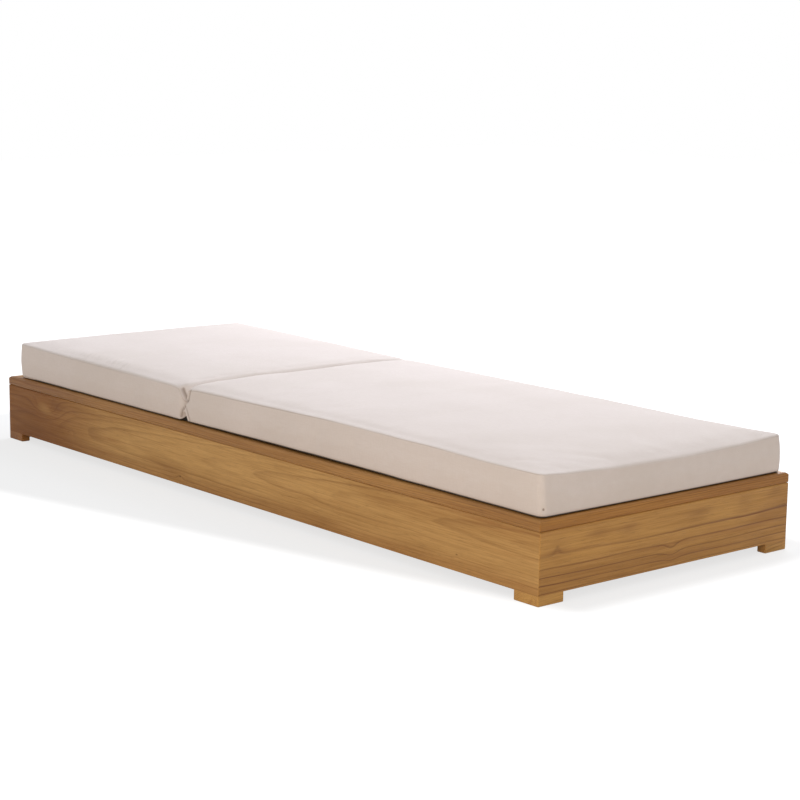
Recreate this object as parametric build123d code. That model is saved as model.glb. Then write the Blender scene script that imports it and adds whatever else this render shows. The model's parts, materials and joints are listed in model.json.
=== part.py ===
from build123d import *
import math
import os

# A low teak chaise lounger. Its back lifts on two pivot bolts and is held by a prop that swings
# under it, and one long cushion with a sewn fold lies on both decks.
# Millimetres. The origin is on the floor under the middle of the frame. +X runs to the foot end,
# +Y to the left side of someone who sits on it and looks to the foot end, and +Z is up.

# Frame: four mitred boards, a mitred rim on top of them and four corner feet below
FRAME_LENGTH = 2030.0
FRAME_WIDTH = 735.0
APRON_HEIGHT = 125.0
APRON_THICKNESS = 25.0
APRON_TOP_ROUND = 4.0
RIM_HEIGHT = 22.0
RIM_TOP_ROUND = 9.0
RIM_BOTTOM_ROUND = 4.0
RIM_INNER_ROUND = 2.0
CORNER_ROUND = 3.0
FOOT_HEIGHT = 21.0
FOOT_LEG = 67.0
FOOT_THICKNESS = 22.0
FOOT_BOTTOM_ROUND = 2.5
CORNER_BLOCK = 40.0
CORNER_BLOCK_HEIGHT = 96.0

# Decks: cross slats on ledges for the seat, a framed panel for the back
DECK_DROP = 3.0
SLAT_THICKNESS = 18.0
SLAT_ROUND = 3.0
SLAT_END_GAP = 1.0
SEAT_SLATS = 10
SEAT_SLAT_GAP = 24.0
SEAT_END_GAP = 4.0
LEDGE_WIDTH = 20.0
LEDGE_HEIGHT = 25.0
CROSS_RAIL_WIDTH = 25.0
CROSS_RAIL_HEIGHT = 50.0
MID_RAIL_SHARE = 0.5
TENON_LENGTH = 10.0
TENON_SHOULDER = 5.0

# Back panel and the pivots it turns on
BACK_REACH = 768.0
BACK_LIFT_MAX = 60.0
HEAD_GAP = 12.0
SIDE_SLOT = 16.5
STILE_WIDTH = 50.0
STILE_THICKNESS = 22.0
BACK_RAIL_WIDTH = 50.0
BACK_RAIL_OFFSET = 14.0
BACK_SLATS = 6
BACK_SLAT_GAP = 19.0
CLEAT_WIDTH = 25.0
CLEAT_HEIGHT = 25.0
CLEAT_END_GAP = 42.0
PIVOT_BLOCK_WIDTH = 32.0
PIVOT_BLOCK_DROP = 64.0
PIVOT_BLOCK_RISE = 9.0
PIVOT_PLAY = 2.0
HINGE_SLAT_GAP = 1.0
BOLT_RADIUS = 5.0
BOLT_HEAD_RADIUS = 9.0
BOLT_HEAD_DEPTH = 6.0
BOLT_BITE = 8.0
BOLT_SOCKET_RADIUS = 3.0
BOLT_SOCKET_DEPTH = 3.0
WASHER_RADIUS = 10.0

# Prop: two arms under the panel and one round bar that stands in the notched racks
PROP_DROP = 22.0
PROP_ARM_HEIGHT = 18.0
PROP_ARM_WIDTH = 20.0
PROP_PLAY = 2.0
PROP_BAR_RADIUS = 6.0
PROP_BAR_END_GAP = 4.0
PROP_BRACKET_LENGTH = 44.0
PROP_BRACKET_WIDTH = 20.0
PROP_BRACKET_INSET = 22.0
PROP_BRACKET_SKIRT = 12.0
PIN_RADIUS = 4.0
PIN_HEAD_RADIUS = 7.0
PIN_HEAD_DEPTH = 2.5
PIN_END_GAP = 3.0
RACK_WIDTH = 20.0
RACK_HEIGHT = 40.0
RACK_END_MARGIN = 40.0
RACK_CORNER_GAP = 15.0
NOTCH_DEPTH = 12.0
NOTCH_RAMP = 14.0
NOTCH_LIFT_SHARES = (0.25, 0.5, 0.75, 1.0)

# Cushion: one cover with a sewn fold over the hinge line, foam inside
CUSHION_HEIGHT = 82.0
CUSHION_CROWN = 7.0
CUSHION_CROWN_RUN = 180.0
CROWN_END_SHARE = 0.1
CUSHION_SIDE_LAP = 8.5
CUSHION_FOOT_LAP = 11.0
CUSHION_HEAD_GAP = 15.0
CUSHION_BELLY_SET_IN = 9.5
CUSHION_BELLY_START = 14.0
CUSHION_BOTTOM_ROUND = 7.0
CUSHION_TOP_ROUND = 8.0
CUSHION_END_ROUND = 10.0
CUSHION_DRAW_IN = 4.0
COVER_THICKNESS = 1.5
FOLD_HALF_LENGTH = 90.0
FOLD_TOP_PINCH = 12.0
FOLD_SIDE_PINCH = 9.0
FOLD_BOTTOM_PINCH = 9.0
FOLD_PINCH_RUN = 18.0
FOLD_RUN_SHARES = (1.0, 0.6, 0.3, 0.1)
FOLD_PINCH_SHARES = (0.0, 0.15, 0.55, 1.0)
CROWN_RUN_SHARES = (0.12, 0.3, 0.55, 1.0)
END_ROUND_ANGLES = (0.0, 30.0, 60.0, 90.0)
ZIP_LENGTH = 500.0
ZIP_HEIGHT = 20.0
ZIP_THICKNESS = 1.2
ZIP_COIL_HEIGHT = 4.0
ZIP_SLIDER_LENGTH = 12.0
ZIP_SLIDER_HEIGHT = 9.0
ZIP_SLIDER_DEPTH = 3.0
ZIP_PULL_LENGTH = 22.0
ZIP_PULL_WIDTH = 6.0
ZIP_PULL_THICKNESS = 1.5

# Screws
SCREW_RADIUS = 2.2
SCREW_HEAD_RADIUS = 4.4
SCREW_HEAD_DEPTH = 2.6
SCREW_BITE = 15.0
SCREW_SINK = 1.0
FOOT_SCREW_SINK = 7.0
FOOT_SCREW_BITE = 30.0
LEDGE_SCREWS = 6
CLEAT_SCREWS = 3
SCREW_END_MARGIN = 30.0
BLOCK_SCREW_SHARES = (0.3, 0.7)

# Clearances
RUNNING_CLEARANCE = 0.05
SOFT_GAP = 0.3
REST_GAP = 0.3
TOOTH_CLEARANCE = 0.6
BAR_SEAT_CLEARANCE = 0.5
OVERCUT = 2.0

# Levels and faces that the pieces share
APRON_TOP = FOOT_HEIGHT + APRON_HEIGHT
RIM_TOP = APRON_TOP + RIM_HEIGHT
DECK_TOP = RIM_TOP - DECK_DROP
SLAT_BOTTOM = DECK_TOP - SLAT_THICKNESS
PANEL_BOTTOM = DECK_TOP - STILE_THICKNESS
HALF_LENGTH = FRAME_LENGTH / 2
HALF_WIDTH = FRAME_WIDTH / 2
INNER_X = HALF_LENGTH - APRON_THICKNESS
INNER_Y = HALF_WIDTH - APRON_THICKNESS
HINGE_X = BACK_REACH - INNER_X
HINGE_Z = DECK_TOP - STILE_THICKNESS / 2
STILE_OUTER_Y = INNER_Y - SIDE_SLOT
STILE_INNER_Y = STILE_OUTER_Y - STILE_WIDTH
LEDGE_INNER_Y = INNER_Y - LEDGE_WIDTH
PIVOT_BLOCK_Y = STILE_OUTER_Y + PIVOT_PLAY
PANEL_END_X = HEAD_GAP - INNER_X
SEAT_START_X = HINGE_X + PIVOT_BLOCK_WIDTH / 2 + HINGE_SLAT_GAP
SEAT_END_X = INNER_X - SEAT_END_GAP
SEAT_PITCH = (SEAT_END_X - SEAT_START_X + SEAT_SLAT_GAP) / SEAT_SLATS
SEAT_SLAT_WIDTH = SEAT_PITCH - SEAT_SLAT_GAP
BRACKET_OUTER_Y = STILE_OUTER_Y - PROP_BRACKET_INSET
BRACKET_INNER_Y = BRACKET_OUTER_Y - PROP_BRACKET_WIDTH
ARM_OUTER_Y = BRACKET_INNER_Y - PROP_PLAY
ARM_INNER_Y = ARM_OUTER_Y - PROP_ARM_WIDTH
# With an arm this much longer than its pivot's reach the bar runs nearly level while the back lifts
# and the arm turns back twice as far; folded, the bar lies over the racks' head ends
PROP_ARM_EXTRA = PROP_DROP * math.tan(math.radians(BACK_LIFT_MAX / 2))
FOLDED_REACH = BACK_REACH - CORNER_BLOCK - RACK_CORNER_GAP - RACK_END_MARGIN
PROP_REACH = (FOLDED_REACH - PROP_ARM_EXTRA) / 2
PROP_ARM_LENGTH = PROP_REACH + PROP_ARM_EXTRA
PROP_Z = HINGE_Z - PROP_DROP
PROP_X = HINGE_X - PROP_REACH
# The cushion laps over the long rims and the foot rim, and its belly sinks to the deck inside them
CUSHION_BOTTOM = RIM_TOP + SOFT_GAP
CUSHION_BELLY = RIM_TOP - DECK_TOP
CUSHION_SEAM = RIM_TOP + CUSHION_HEIGHT
CUSHION_HALF_WIDTH = INNER_Y + CUSHION_SIDE_LAP
CUSHION_FOOT_X = INNER_X + CUSHION_FOOT_LAP
CUSHION_HEAD_X = INNER_X - CUSHION_HEAD_GAP

SIDES = {"right": -1, "left": 1}
ENDS = {"head": -1, "foot": 1}

parts = {}


def block(xs, ys, zs):
    """A plain box between two limits along each axis, given in either order."""
    sizes = [abs(b - a) for a, b in (xs, ys, zs)]
    centre = [(a + b) / 2 for a, b in (xs, ys, zs)]
    return Pos(*centre) * Box(*sizes)


def rod(x, z, ys, radius):
    """A round rod across the frame, from one y to another."""
    return Pos(x, sum(ys) / 2, z) * Rot(90, 0, 0) * Cylinder(radius, abs(ys[1] - ys[0]))


def wood_screw(grip, bite):
    """A countersunk screw with its head's face at the origin and its point down."""
    length = grip + bite
    head = Pos(0, 0, -SCREW_HEAD_DEPTH / 2) * Cone(SCREW_RADIUS, SCREW_HEAD_RADIUS, SCREW_HEAD_DEPTH)
    shank = Pos(0, 0, -(SCREW_HEAD_DEPTH + length) / 2) * Cylinder(SCREW_RADIUS, length - SCREW_HEAD_DEPTH)
    return head + shank


def screw_hole(screw, sink):
    """The screw's own shape with a straight hole above its head, to cut from the wood."""
    height = sink + OVERCUT
    return screw + Pos(0, 0, height / 2) * Cylinder(SCREW_HEAD_RADIUS, height)


def set_screws(name, places, grip, hosts, sink=SCREW_SINK, bite=SCREW_BITE):
    """Put screws at the given places, cut their holes in the host pieces and keep them as a node."""
    screws = parts.get(name, [])
    for place in places:
        screw = wood_screw(grip - sink, bite)
        sunk = place * Pos(0, 0, -sink)
        for host in hosts:
            parts[host] = parts[host] - sunk * screw_hole(screw, sink)
        screws.append(sunk * screw)
    parts[name] = screws


def rounded_outline():
    """The frame's outer outline with its upright corners eased, as tall as the frame."""
    outline = block((-HALF_LENGTH, HALF_LENGTH), (-HALF_WIDTH, HALF_WIDTH), (0, RIM_TOP))
    return fillet(outline.edges().filter_by(Axis.Z), CORNER_ROUND)


def mitred_bar(run, reach, low, high, top_round, bottom_round, inner_round):
    """A board along X on the -Y side of a run by reach frame, its ends cut at 45 degrees."""
    outer = -reach / 2
    inner = outer + APRON_THICKNESS
    bar = block((-run / 2, run / 2), (outer, inner), (low, high))
    outer_top = bar.edges().filter_by(Axis.X).group_by(Axis.Y)[0].sort_by(Axis.Z)[-1]
    bar = fillet(outer_top, top_round)
    if bottom_round:
        outer_bottom = bar.edges().filter_by(Axis.X).group_by(Axis.Z)[0].sort_by(Axis.Y)[0]
        bar = fillet(outer_bottom, bottom_round)
    if inner_round:
        inner_top = bar.edges().filter_by(Axis.X).group_by(Axis.Y)[-1].sort_by(Axis.Z)[-1]
        bar = fillet(inner_top, inner_round)
    plan = Polyline(
        (-run / 2, outer),
        (run / 2, outer),
        (run / 2 - APRON_THICKNESS, inner),
        (APRON_THICKNESS - run / 2, inner),
        close=True,
    )
    return bar & Pos(0, 0, low) * extrude(make_face(plan), high - low)


def make_frame():
    """Four aprons and four rim boards, mitred at the corners."""
    outline = rounded_outline()
    turns = {
        "right": (0, FRAME_LENGTH, FRAME_WIDTH),
        "foot": (90, FRAME_WIDTH, FRAME_LENGTH),
        "left": (180, FRAME_LENGTH, FRAME_WIDTH),
        "head": (270, FRAME_WIDTH, FRAME_LENGTH),
    }
    for side, (turn, run, reach) in turns.items():
        apron = mitred_bar(run, reach, FOOT_HEIGHT, APRON_TOP, APRON_TOP_ROUND, 0, 0)
        rim = mitred_bar(run, reach, APRON_TOP, RIM_TOP, RIM_TOP_ROUND, RIM_BOTTOM_ROUND, RIM_INNER_ROUND)
        parts["apron_" + side] = (Rot(0, 0, turn) * apron) & outline
        parts["rim_" + side] = (Rot(0, 0, turn) * rim) & outline


def make_feet():
    """L-shaped corner feet flush with the aprons, a block inside each corner, and their screws."""
    outline = rounded_outline()
    blocks = []
    for end, sx in ENDS.items():
        for side, sy in SIDES.items():
            corner_x = sx * HALF_LENGTH
            corner_y = sy * HALF_WIDTH
            along = block(
                (corner_x, corner_x - sx * FOOT_LEG),
                (corner_y, corner_y - sy * FOOT_THICKNESS),
                (0, FOOT_HEIGHT),
            )
            across = block(
                (corner_x, corner_x - sx * FOOT_THICKNESS),
                (corner_y, corner_y - sy * FOOT_LEG),
                (0, FOOT_HEIGHT),
            )
            foot = (along + across).clean() & outline
            floor_edges = foot.edges().group_by(Axis.Z)[0]
            name = "foot_" + end + "_" + side
            parts[name] = fillet(floor_edges, FOOT_BOTTOM_ROUND)
            middle = FOOT_THICKNESS / 2
            seat = FOOT_LEG - middle
            upward = Rot(180, 0, 0)
            places = {
                "apron_" + side: Pos(corner_x - sx * seat, corner_y - sy * middle, 0) * upward,
                "apron_" + end: Pos(corner_x - sx * middle, corner_y - sy * seat, 0) * upward,
            }
            for apron, place in places.items():
                hosts = [name, apron]
                set_screws("foot_screws", [place], FOOT_HEIGHT, hosts, FOOT_SCREW_SINK, FOOT_SCREW_BITE)
            blocks.append(
                block(
                    (sx * INNER_X, sx * (INNER_X - CORNER_BLOCK)),
                    (sy * INNER_Y, sy * (INNER_Y - CORNER_BLOCK)),
                    (FOOT_HEIGHT, FOOT_HEIGHT + CORNER_BLOCK_HEIGHT),
                )
            )
    low, high = [FOOT_HEIGHT + CORNER_BLOCK_HEIGHT * share for share in BLOCK_SCREW_SHARES]
    parts["corner_blocks"] = Compound(children=blocks)
    for end, sx in ENDS.items():
        for side, sy in SIDES.items():
            x = sx * (INNER_X - CORNER_BLOCK / 2)
            y = sy * (INNER_Y - CORNER_BLOCK / 2)
            to_side = Pos(x, sy * (INNER_Y - CORNER_BLOCK), high) * Rot(sy * 90, 0, 0)
            to_end = Pos(sx * (INNER_X - CORNER_BLOCK), y, low) * Rot(0, -sx * 90, 0)
            for apron, place in {"apron_" + side: to_side, "apron_" + end: to_end}.items():
                set_screws("corner_screws", [place], CORNER_BLOCK, ["corner_blocks", apron])


def tenoned_bar(xs, half_length, zs, ease):
    """A bar across the frame with a tenon on each end; returns the bar and its two tenons."""
    bar = block(xs, (-half_length, half_length), zs)
    if ease:
        bar = fillet(bar.edges().filter_by(Axis.Y), ease)
    shoulder_x = (xs[0] + TENON_SHOULDER, xs[1] - TENON_SHOULDER)
    shoulder_z = (zs[0] + TENON_SHOULDER, zs[1] - TENON_SHOULDER)
    tip = half_length + TENON_LENGTH
    tenons = [block(shoulder_x, (sy * half_length, sy * tip), shoulder_z) for sy in SIDES.values()]
    return (bar + tenons[0] + tenons[1]).clean(), tenons


def make_seat_deck():
    """Ledges along the aprons, two cross rails between them, and the seat slats on top."""
    mid_x = SEAT_START_X + (SEAT_END_X - SEAT_START_X) * MID_RAIL_SHARE
    rails = {"cross_rail_hinge": SEAT_START_X, "cross_rail_middle": mid_x - CROSS_RAIL_WIDTH / 2}
    ledge_zs = (SLAT_BOTTOM - LEDGE_HEIGHT, SLAT_BOTTOM)
    rail_zs = (SLAT_BOTTOM - CROSS_RAIL_HEIGHT, SLAT_BOTTOM)
    for side, sy in SIDES.items():
        ys = (sy * LEDGE_INNER_Y, sy * INNER_Y)
        parts["ledge_" + side] = block((SEAT_START_X, INNER_X), ys, ledge_zs)
    for name, x in rails.items():
        rail = block((x, x + CROSS_RAIL_WIDTH), (-LEDGE_INNER_Y, LEDGE_INNER_Y), rail_zs)
        tongue_z = (SLAT_BOTTOM - LEDGE_HEIGHT + TENON_SHOULDER, SLAT_BOTTOM - TENON_SHOULDER)
        tongue_x = (x + TENON_SHOULDER, x + CROSS_RAIL_WIDTH - TENON_SHOULDER)
        for side, sy in SIDES.items():
            tongue = block(tongue_x, (sy * LEDGE_INNER_Y, sy * (LEDGE_INNER_Y + TENON_LENGTH)), tongue_z)
            rail = rail + tongue
            parts["ledge_" + side] = parts["ledge_" + side] - tongue
        parts[name] = rail.clean()
    for side, sy in SIDES.items():
        span = INNER_X - SEAT_START_X - 2 * SCREW_END_MARGIN
        xs = [SEAT_START_X + SCREW_END_MARGIN + span * n / (LEDGE_SCREWS - 1) for n in range(LEDGE_SCREWS)]
        z = SLAT_BOTTOM - LEDGE_HEIGHT / 2
        places = [Pos(x, sy * LEDGE_INNER_Y, z) * Rot(sy * 90, 0, 0) for x in xs]
        set_screws("side_screws", places, LEDGE_WIDTH, ["ledge_" + side, "apron_" + side])
    for n in range(SEAT_SLATS):
        x = SEAT_START_X + n * SEAT_PITCH
        half = INNER_Y - SLAT_END_GAP
        slat = block((x, x + SEAT_SLAT_WIDTH), (-half, half), (SLAT_BOTTOM, DECK_TOP))
        name = "seat_slat_" + str(n + 1)
        parts[name] = fillet(slat.edges().filter_by(Axis.Y), SLAT_ROUND)
        for side, sy in SIDES.items():
            place = Pos(x + SEAT_SLAT_WIDTH / 2, sy * (INNER_Y - LEDGE_WIDTH / 2), DECK_TOP)
            set_screws("slat_screws", [place], SLAT_THICKNESS, [name, "ledge_" + side])


def make_back_panel():
    """Two stiles with round hinge ends, two rails and the back slats tenoned between them."""
    for side, sy in SIDES.items():
        ys = (sy * STILE_INNER_Y, sy * STILE_OUTER_Y)
        stile = block((PANEL_END_X, HINGE_X), ys, (PANEL_BOTTOM, DECK_TOP))
        stile = (stile + rod(HINGE_X, HINGE_Z, ys, STILE_THICKNESS / 2)).clean()
        parts["back_stile_" + side] = stile - rod(HINGE_X, HINGE_Z, ys, BOLT_RADIUS + RUNNING_CLEARANCE)
    rail_high = HINGE_X - BACK_RAIL_OFFSET
    rail_low = rail_high - BACK_RAIL_WIDTH
    head_low = PANEL_END_X + BACK_RAIL_WIDTH
    bars = {
        "back_rail_hinge": ((rail_low, rail_high), PANEL_BOTTOM, 0),
        "back_rail_head": ((PANEL_END_X, head_low), PANEL_BOTTOM, 0),
    }
    pitch = (rail_low - head_low - BACK_SLAT_GAP) / BACK_SLATS
    for n in range(BACK_SLATS):
        x = head_low + BACK_SLAT_GAP + n * pitch
        bars["back_slat_" + str(n + 1)] = ((x, x + pitch - BACK_SLAT_GAP), SLAT_BOTTOM, SLAT_ROUND)
    for name, (xs, low, ease) in bars.items():
        bar, tenons = tenoned_bar(xs, STILE_INNER_Y, (low, DECK_TOP), ease)
        parts[name] = bar
        for side, tenon in zip(SIDES, tenons):
            parts["back_stile_" + side] = parts["back_stile_" + side] - tenon


def make_head_cleat():
    """The cleat on the head apron that the panel lies down on."""
    top = PANEL_BOTTOM - REST_GAP
    half = INNER_Y - CLEAT_END_GAP
    parts["head_cleat"] = block((-INNER_X, CLEAT_WIDTH - INNER_X), (-half, half), (top - CLEAT_HEIGHT, top))
    span = 2 * (half - SCREW_END_MARGIN)
    ys = [SCREW_END_MARGIN - half + span * n / (CLEAT_SCREWS - 1) for n in range(CLEAT_SCREWS)]
    places = [Pos(CLEAT_WIDTH - INNER_X, y, top - CLEAT_HEIGHT / 2) * Rot(0, 90, 0) for y in ys]
    set_screws("side_screws", places, CLEAT_WIDTH, ["head_cleat", "apron_head"])


def make_pivots():
    """Blocks on the aprons with the bolts that the stiles turn on, and a washer on each."""
    bolts = []
    washers = []
    low = HINGE_Z - PIVOT_BLOCK_DROP
    high = HINGE_Z + PIVOT_BLOCK_RISE
    half = PIVOT_BLOCK_WIDTH / 2
    for side, sy in SIDES.items():
        name = "pivot_block_" + side
        shank = rod(HINGE_X, HINGE_Z, (sy * STILE_INNER_Y, sy * (INNER_Y + BOLT_BITE)), BOLT_RADIUS)
        block_ys = (sy * PIVOT_BLOCK_Y, sy * INNER_Y)
        parts[name] = block((HINGE_X - half, HINGE_X + half), block_ys, (low, high)) - shank
        parts["rim_" + side] = parts["rim_" + side] - shank
        head_start = STILE_INNER_Y - SOFT_GAP
        head_end = head_start - BOLT_HEAD_DEPTH
        neck = rod(HINGE_X, HINGE_Z, (sy * head_start, sy * STILE_INNER_Y), BOLT_RADIUS)
        head = rod(HINGE_X, HINGE_Z, (sy * head_end, sy * head_start), BOLT_HEAD_RADIUS)
        socket_end = head_end + BOLT_SOCKET_DEPTH
        socket = rod(HINGE_X, HINGE_Z, (sy * head_end, sy * socket_end), BOLT_SOCKET_RADIUS)
        bolts.append((shank + neck + head).clean() - socket)
        face = (sy * (STILE_OUTER_Y + REST_GAP), sy * (PIVOT_BLOCK_Y - REST_GAP))
        bore = rod(HINGE_X, HINGE_Z, face, BOLT_RADIUS + REST_GAP)
        washers.append(rod(HINGE_X, HINGE_Z, face, WASHER_RADIUS) - bore)
        zs = [low + PIVOT_BLOCK_DROP * share for share in BLOCK_SCREW_SHARES]
        places = [Pos(HINGE_X, sy * PIVOT_BLOCK_Y, z) * Rot(sy * 90, 0, 0) for z in zs]
        set_screws("side_screws", places, INNER_Y - PIVOT_BLOCK_Y, [name, "apron_" + side])
    parts["pivot_bolts"] = bolts
    parts["pivot_washers"] = washers


def bar_place(lift):
    """How far the prop's bar stands from the hinge line, towards the head and up, at a lift."""
    turn = math.radians(lift)
    along = (PROP_REACH + PROP_ARM_LENGTH) * math.cos(turn) + PROP_DROP * math.sin(turn)
    up = (PROP_REACH - PROP_ARM_LENGTH) * math.sin(turn) - PROP_DROP * math.cos(turn)
    return along, up


def make_racks():
    """Notched racks on the side aprons; the tops of their teeth lie just under the bar's path."""
    top = HINGE_Z + bar_place(BACK_LIFT_MAX / 2)[1] - PROP_BAR_RADIUS - TOOTH_CLEARANCE
    radius = PROP_BAR_RADIUS + BAR_SEAT_CLEARANCE
    seat_z = top - NOTCH_DEPTH + radius
    hinge_end = HINGE_X - bar_place(BACK_LIFT_MAX)[0] + RACK_END_MARGIN
    head_end = HINGE_X - bar_place(0)[0] - RACK_END_MARGIN
    for side, sy in SIDES.items():
        ys = (sy * (INNER_Y - RACK_WIDTH), sy * INNER_Y)
        rack = block((head_end, hinge_end), ys, (top - RACK_HEIGHT, top))
        for share in NOTCH_LIFT_SHARES:
            x = HINGE_X - bar_place(BACK_LIFT_MAX * share)[0]
            outline = Polyline(
                (x - radius, seat_z),
                (x - radius, top + OVERCUT),
                (x + radius + NOTCH_RAMP, top + OVERCUT),
                (x + radius + NOTCH_RAMP, top),
                (x + radius, seat_z),
                close=True,
            )
            face = Plane.XZ * make_face(outline)
            cut = extrude(face, amount=INNER_Y + OVERCUT, both=True)
            slot = cut & block((head_end, hinge_end), ys, (seat_z, top + OVERCUT))
            rack = rack - slot - rod(x, seat_z, ys, radius)
        name = "prop_rack_" + side
        parts[name] = rack
        xs = (head_end + SCREW_END_MARGIN / 2, hinge_end - SCREW_END_MARGIN / 2)
        z = top - RACK_HEIGHT / 2
        places = [Pos(x, ys[0], z) * Rot(sy * 90, 0, 0) for x in xs]
        set_screws("side_screws", places, RACK_WIDTH, [name, "apron_" + side])


def make_prop():
    """Brackets under the stiles, the pins in them, two arms and the bar through the arms' ends."""
    brackets = []
    pins = []
    bar_x = PROP_X - PROP_ARM_LENGTH
    reach = INNER_Y - PROP_BAR_END_GAP
    bar = rod(bar_x, PROP_Z, (-reach, reach), PROP_BAR_RADIUS)
    half = PROP_BRACKET_LENGTH / 2
    for side, sy in SIDES.items():
        ys = (sy * BRACKET_INNER_Y, sy * BRACKET_OUTER_Y)
        bracket = block((PROP_X - half, PROP_X + half), ys, (PROP_Z - PROP_BRACKET_SKIRT, PANEL_BOTTOM))
        lower = bracket.edges().filter_by(Axis.Y).group_by(Axis.Z)[0]
        bracket = fillet(lower, PROP_BRACKET_SKIRT - PIN_RADIUS)
        head_y = ARM_INNER_Y - SOFT_GAP
        shank = rod(PROP_X, PROP_Z, (sy * head_y, sy * (BRACKET_OUTER_Y - PIN_END_GAP)), PIN_RADIUS)
        head_ys = (sy * (head_y - PIN_HEAD_DEPTH), sy * head_y)
        pins.append((shank + rod(PROP_X, PROP_Z, head_ys, PIN_HEAD_RADIUS)).clean())
        brackets.append(bracket - shank)
        arm_ys = (sy * ARM_INNER_Y, sy * ARM_OUTER_Y)
        thick = PROP_ARM_HEIGHT / 2
        arm = block((bar_x, PROP_X), arm_ys, (PROP_Z - thick, PROP_Z + thick))
        arm = arm + rod(bar_x, PROP_Z, arm_ys, thick) + rod(PROP_X, PROP_Z, arm_ys, thick)
        arm = arm.clean() - rod(PROP_X, PROP_Z, arm_ys, PIN_RADIUS + RUNNING_CLEARANCE)
        parts["prop_arm_" + side] = arm - bar
    parts["prop_brackets"] = brackets
    parts["prop_pins"] = pins
    parts["prop_bar"] = bar


def cushion_section(x, half_width, bottom, seam, crown, inset, belly):
    """The cushion's outline across the frame at one x, drawn in by inset all round."""
    side = half_width - inset
    low = bottom + inset
    high = seam - inset
    low_round = CUSHION_BOTTOM_ROUND
    top_round = CUSHION_TOP_ROUND
    slope = 1 - math.sqrt(0.5)
    lap = side - CUSHION_BELLY_SET_IN

    def at(y, z):
        return Vector(x, y, z)

    right = [
        Edge.make_line(at(belly - lap, low - belly), at(lap - belly, low - belly)),
        Edge.make_line(at(lap - belly, low - belly), at(lap, low)),
        Edge.make_line(at(lap, low), at(side - low_round, low)),
        Edge.make_three_point_arc(
            at(side - low_round, low),
            at(side - low_round * slope, low + low_round * slope),
            at(side, low + low_round),
        ),
        Edge.make_line(at(side, low + low_round), at(side, high - top_round)),
        Edge.make_three_point_arc(
            at(side, high - top_round),
            at(side - top_round * slope, high - top_round * slope),
            at(side - top_round, high),
        ),
    ]
    over = Edge.make_three_point_arc(
        at(side - top_round, high), at(0, high + crown), at(top_round - side, high)
    )
    left = [
        Edge.make_three_point_arc(
            at(top_round - side, high),
            at(top_round * slope - side, high - top_round * slope),
            at(-side, high - top_round),
        ),
        Edge.make_line(at(-side, high - top_round), at(-side, low + low_round)),
        Edge.make_three_point_arc(
            at(-side, low + low_round),
            at(low_round * slope - side, low + low_round * slope),
            at(low_round - side, low),
        ),
        Edge.make_line(at(low_round - side, low), at(-lap, low)),
        Edge.make_line(at(-lap, low), at(belly - lap, low - belly)),
    ]
    return Wire(right + [over] + left)


def cushion_part(fold_x, end_x, inset):
    """A cushion from its fold side to its free end: crowned, rounded at the end, sides drawn in."""
    way = 1 if end_x > fold_x else -1
    length = abs(end_x - fold_x) - inset
    turns = [math.radians(angle) for angle in END_ROUND_ANGLES]
    stations = [(1 - math.cos(turn), 1 - math.sin(turn)) for turn in turns]
    stations = [(CUSHION_END_ROUND * back, CUSHION_END_ROUND * rounding) for back, rounding in stations]
    first_run = CUSHION_END_ROUND + CUSHION_CROWN_RUN
    stations += [(CUSHION_END_ROUND + CUSHION_CROWN_RUN * share, 0) for share in CROWN_RUN_SHARES]
    middle = (first_run + length) / 2
    stations += [(CUSHION_BELLY_START, 0), (middle, 0), (length - inset, 0)]
    stations.sort()
    wires = []
    for back, rounding in stations:
        rise = math.sin(min(back / first_run, 1) * math.pi / 2) ** 0.5
        crown = CUSHION_CROWN * (CROWN_END_SHARE + (1 - CROWN_END_SHARE) * rise)
        drawn = CUSHION_DRAW_IN * math.sin(math.pi * min(back / length, 1))
        x = end_x - way * (inset + back)
        half = CUSHION_HALF_WIDTH - drawn
        belly = CUSHION_BELLY if back >= CUSHION_BELLY_START else SOFT_GAP / 2
        shrunk = inset + rounding
        wires.append(cushion_section(x, half, CUSHION_BOTTOM, CUSHION_SEAM, crown, shrunk, belly))
    return Solid.make_loft(wires, True)


def cushion_fold():
    """The stretch over the hinge line, pinched in all round by its stitching."""
    wires = []
    ends = (HINGE_X - FOLD_HALF_LENGTH + SOFT_GAP, HINGE_X + FOLD_HALF_LENGTH)
    shares = zip(FOLD_RUN_SHARES, FOLD_PINCH_SHARES)
    runs = [(HINGE_X - FOLD_PINCH_RUN * run, share) for run, share in shares]
    mirrored = [(2 * HINGE_X - x, share) for x, share in reversed(runs)]
    for x, share in [(ends[0], 0)] + runs + mirrored + [(ends[1], 0)]:
        wires.append(
            cushion_section(
                x,
                CUSHION_HALF_WIDTH - FOLD_SIDE_PINCH * share,
                CUSHION_BOTTOM + FOLD_BOTTOM_PINCH * share,
                CUSHION_SEAM - FOLD_TOP_PINCH * share,
                CUSHION_CROWN,
                0,
                CUSHION_BELLY,
            )
        )
    return Solid.make_loft(wires, True)


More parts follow.
